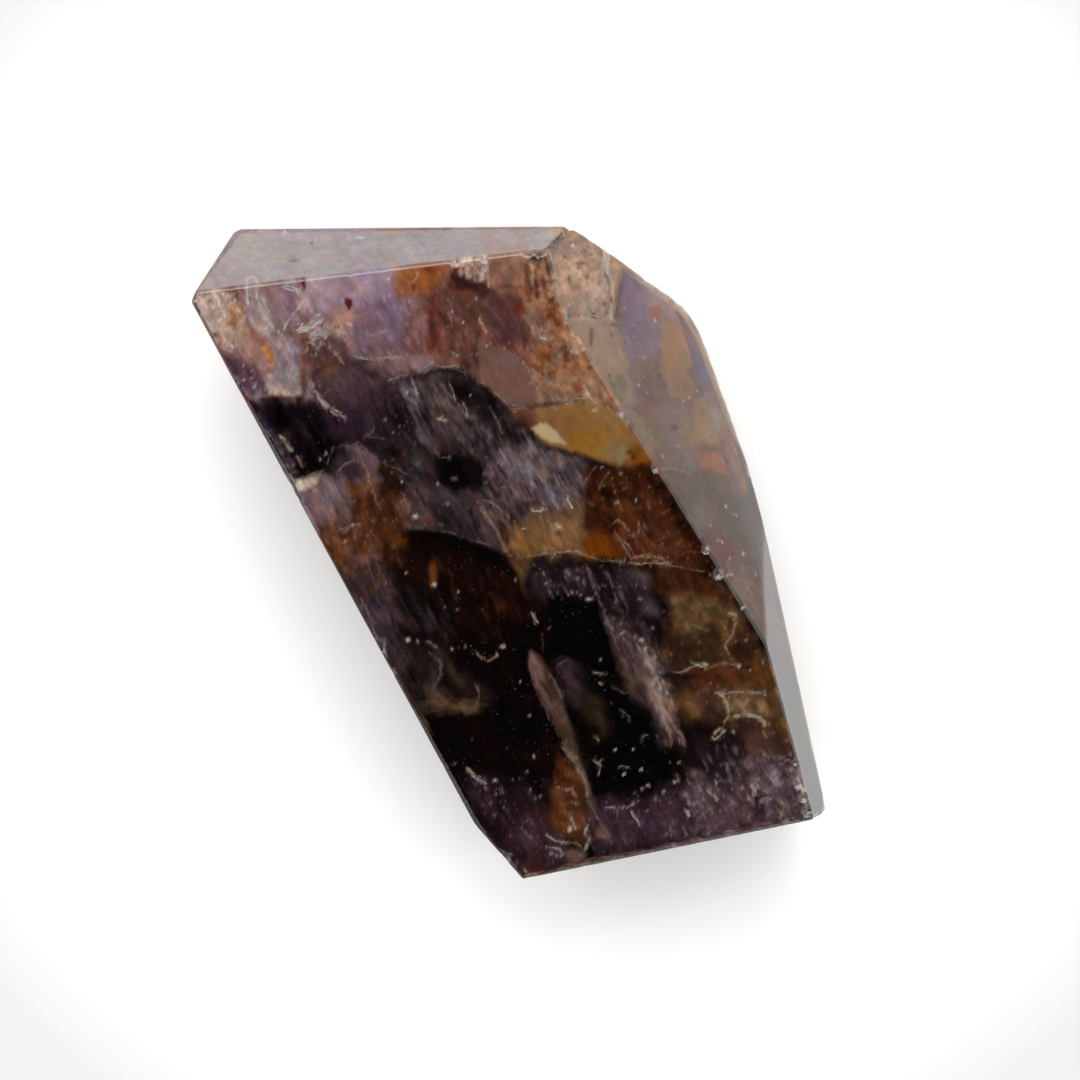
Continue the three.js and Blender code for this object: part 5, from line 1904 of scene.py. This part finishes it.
class Sprinkle:
    """Small shapes laid over the zones, placed by photo position."""

    def __init__(self):
        self.pixels, self.lifts, self.colours, self.faces = [], [], [], []

    def add(self, pixels, lifts, colour, faces):
        first = len(self.pixels)
        self.pixels += pixels
        self.lifts += lifts
        self.colours += [colour] * len(pixels)
        self.faces += [tuple(first + i for i in face) for face in faces]

    def make(self, name, material):
        pixels = np.array(self.pixels)
        under = painted(pixels).colour
        below = ZONES_BELOW_FACE + zone_depth(pixels) - np.array(self.lifts)
        mesh = bpy.data.meshes.new(name)
        places = inside_at(pixels, np.maximum(below, LEAST_COVER))
        mesh.from_pydata(places.tolist(), [], self.faces)
        shown = under + MARK_COVER * (np.array(self.colours, float) - under)
        add_values(mesh, "tint", under_quartz(shown, face_gloss(pixels)))
        return make_piece(name, mesh, material)


def smooth_path(path, step):
    """Points at even steps along a smooth curve through the path."""
    ends = [np.array(p, float) for p in (path[0], *path, path[-1])]
    points = []
    for a, b, c, d in zip(ends, ends[1:], ends[2:], ends[3:]):
        count = max(1, round(math.dist(b, c) / step))
        for i in range(count):
            t = i / count
            points.append(0.5 * (2 * b + (c - a) * t + (2 * a - 5 * b + 4 * c - d) * t * t
                                 + (3 * b - a - 3 * c + d) * t ** 3))
    points.append(ends[-1])
    return np.array(points)


def make_veins():
    """Short thin flakes along the bright cracks, domed and tapered."""
    chance = random.Random(51)
    sprinkle = Sprinkle()
    for path, width, colour in UPPER_VEINS + MIDDLE_VEINS + LOWER_VEINS:
        line = smooth_path(path, FLAKE_STEP)
        line += [(chance.gauss(0, FLAKE_SWAY), chance.gauss(0, FLAKE_SWAY)) for _ in line]
        count = len(line)
        if count < 3:
            continue
        way = np.gradient(line, axis=0)
        side = np.stack([-way[:, 1], way[:, 0]], 1) / np.linalg.norm(way, axis=1)[:, None]
        for _ in range(max(2, round(count * min(width, 4) / 5))):
            first = chance.randrange(count - 2)
            last = min(count, first + chance.randrange(3, 7))
            shift = chance.gauss(0, 0.3 * width)
            widest = width * chance.uniform(0.1, 0.34)
            pixels, lifts, faces = [], [], []
            for i in range(first, last):
                along = (i - first) / (last - first - 1)
                half = widest * min(1, 0.15 + 3 * min(along, 1 - along)) * chance.uniform(0.5, 1.2)
                middle = line[i] + side[i] * (shift + chance.gauss(0, 0.2))
                pixels += [tuple(middle + side[i] * reach) for reach in (-half, 0, half)]
                lifts += FLAKE_LIFTS
                if i > first:
                    start = 3 * (i - first - 1)
                    faces += [(start, start + 3, start + 4, start + 1),
                              (start + 1, start + 4, start + 5, start + 2)]
            if edge_distance(np.array(pixels), MAIN_OUTLINE).min() > FLAKE_MARGIN:
                sprinkle.add(pixels, lifts, colour, faces)
    sprinkle.make("healed_cracks", vein_material())


def make_grains():
    """Small faceted lumps for the bright grains."""
    chance = random.Random(52)
    sprinkle = Sprinkle()
    for place, size, colour in GRAINS:
        long, short = size if isinstance(size, tuple) else (0.6 * size, 0.6 * size)
        long, short = GRAIN_SCALE * long, GRAIN_SCALE * short
        count = chance.randrange(5, 8)
        turn = chance.uniform(0, math.tau)
        ring = []
        for i in range(count):
            angle = turn + math.tau * i / count
            reach = chance.uniform(0.35, 1.0)
            ring.append((place[0] + long * reach * math.cos(angle),
                         place[1] + short * reach * math.sin(angle)))
        faces = [(0, 1 + i, 1 + (i + 1) % count) for i in range(count)]
        lifts = [GRAIN_LIFT] + [GRAIN_RIM_LIFT] * count
        sprinkle.add([place] + ring, lifts, colour, faces)
    sprinkle.make("bright_grains", vein_material())


# The floor: half its side in m, its colours under and away from the stone, and the distances
# in mm between which one turns into the other
FLOOR_HALF = 1.5
FLOOR_NEAR = (0.86, 0.855, 0.84, 1)
FLOOR_FAR = (0.54, 0.537, 0.53, 1)
FLOOR_TURNS = (28, 48)
FLOOR_ROUGHNESS = 0.7

# The glow straight overhead and the height from which it is dark, the glow's uneven sides,
# and the lamp's width and distance in m
OVERHEAD_GLOW = 0.02
OVERHEAD = (0.955, 0.975)
SIDE_GLOW = (0.76, 1.24)
LAMP_WIDTH = 0.44
LAMP_DISTANCE = 0.8


def make_floor():
    mesh = bpy.data.meshes.new("floor")
    half = FLOOR_HALF
    corners = [(-half, -half, 0), (half, -half, 0), (half, half, 0), (-half, half, 0)]
    mesh.from_pydata(corners, [], [(0, 1, 2, 3)])
    floor = bpy.data.objects.new("floor", mesh)
    bpy.context.scene.collection.objects.link(floor)
    material, tree, shader = new_material("floor")
    place = add_node(tree, "TexCoord").outputs["Object"]
    away = add_node(tree, "VectorMath", {0: place}, operation="LENGTH").outputs["Value"]
    share = between(tree, away, FLOOR_TURNS[0] * MM, FLOOR_TURNS[1] * MM)
    colour = mixed(tree, share, FLOOR_NEAR, FLOOR_FAR)
    tree.links.new(colour, shader.inputs["Base Color"])
    shader.inputs["Roughness"].default_value = FLOOR_ROUGHNESS
    mesh.materials.append(material)


def make_light():
    """A bright studio, dark only straight overhead, and a soft lamp high beyond the point."""
    world = bpy.data.worlds.new("studio")
    bpy.context.scene.world = world
    world.use_nodes = True
    tree = world.node_tree
    way = add_node(tree, "TexCoord").outputs["Generated"]
    height = add_node(tree, "SeparateXYZ", {0: way}).outputs["Z"]
    overhead = between(tree, height, *OVERHEAD, STUDIO_GLOW, OVERHEAD_GLOW)
    side = add_node(tree, "VectorMath", {0: way, 1: LAMP_SIDE}, operation="DOT_PRODUCT")
    uneven = between(tree, side.outputs["Value"], -1, 1, *SIDE_GLOW)
    background = tree.nodes["Background"]
    background.inputs["Color"].default_value = (1, 1, 1, 1)
    tree.links.new(times(tree, overhead, uneven), background.inputs["Strength"])
    lamp = bpy.data.lights.new("lamp", "AREA")
    lamp.shape = "DISK"
    lamp.size = LAMP_WIDTH
    lamp.energy = LAMP_POWER
    key = bpy.data.objects.new("lamp", lamp)
    lean = math.radians(LAMP_LEAN)
    aside = LAMP_DISTANCE * math.sin(lean)
    key.location = (aside * LAMP_SIDE[0], aside * LAMP_SIDE[1], LAMP_DISTANCE * math.cos(lean))
    key.rotation_mode = "QUATERNION"
    key.rotation_quaternion = key.location.to_track_quat("Z", "Y")
    bpy.context.scene.collection.objects.link(key)
    scene = bpy.context.scene
    scene.view_settings.view_transform = "Standard"
    scene.cycles.use_denoising = True
    scene.cycles.max_bounces = 16
    scene.cycles.diffuse_bounces = 6
    scene.cycles.glossy_bounces = 8
    scene.cycles.transmission_bounces = 12


make_skin()
make_zones()
make_veins()
make_grains()
make_floor()
make_light()
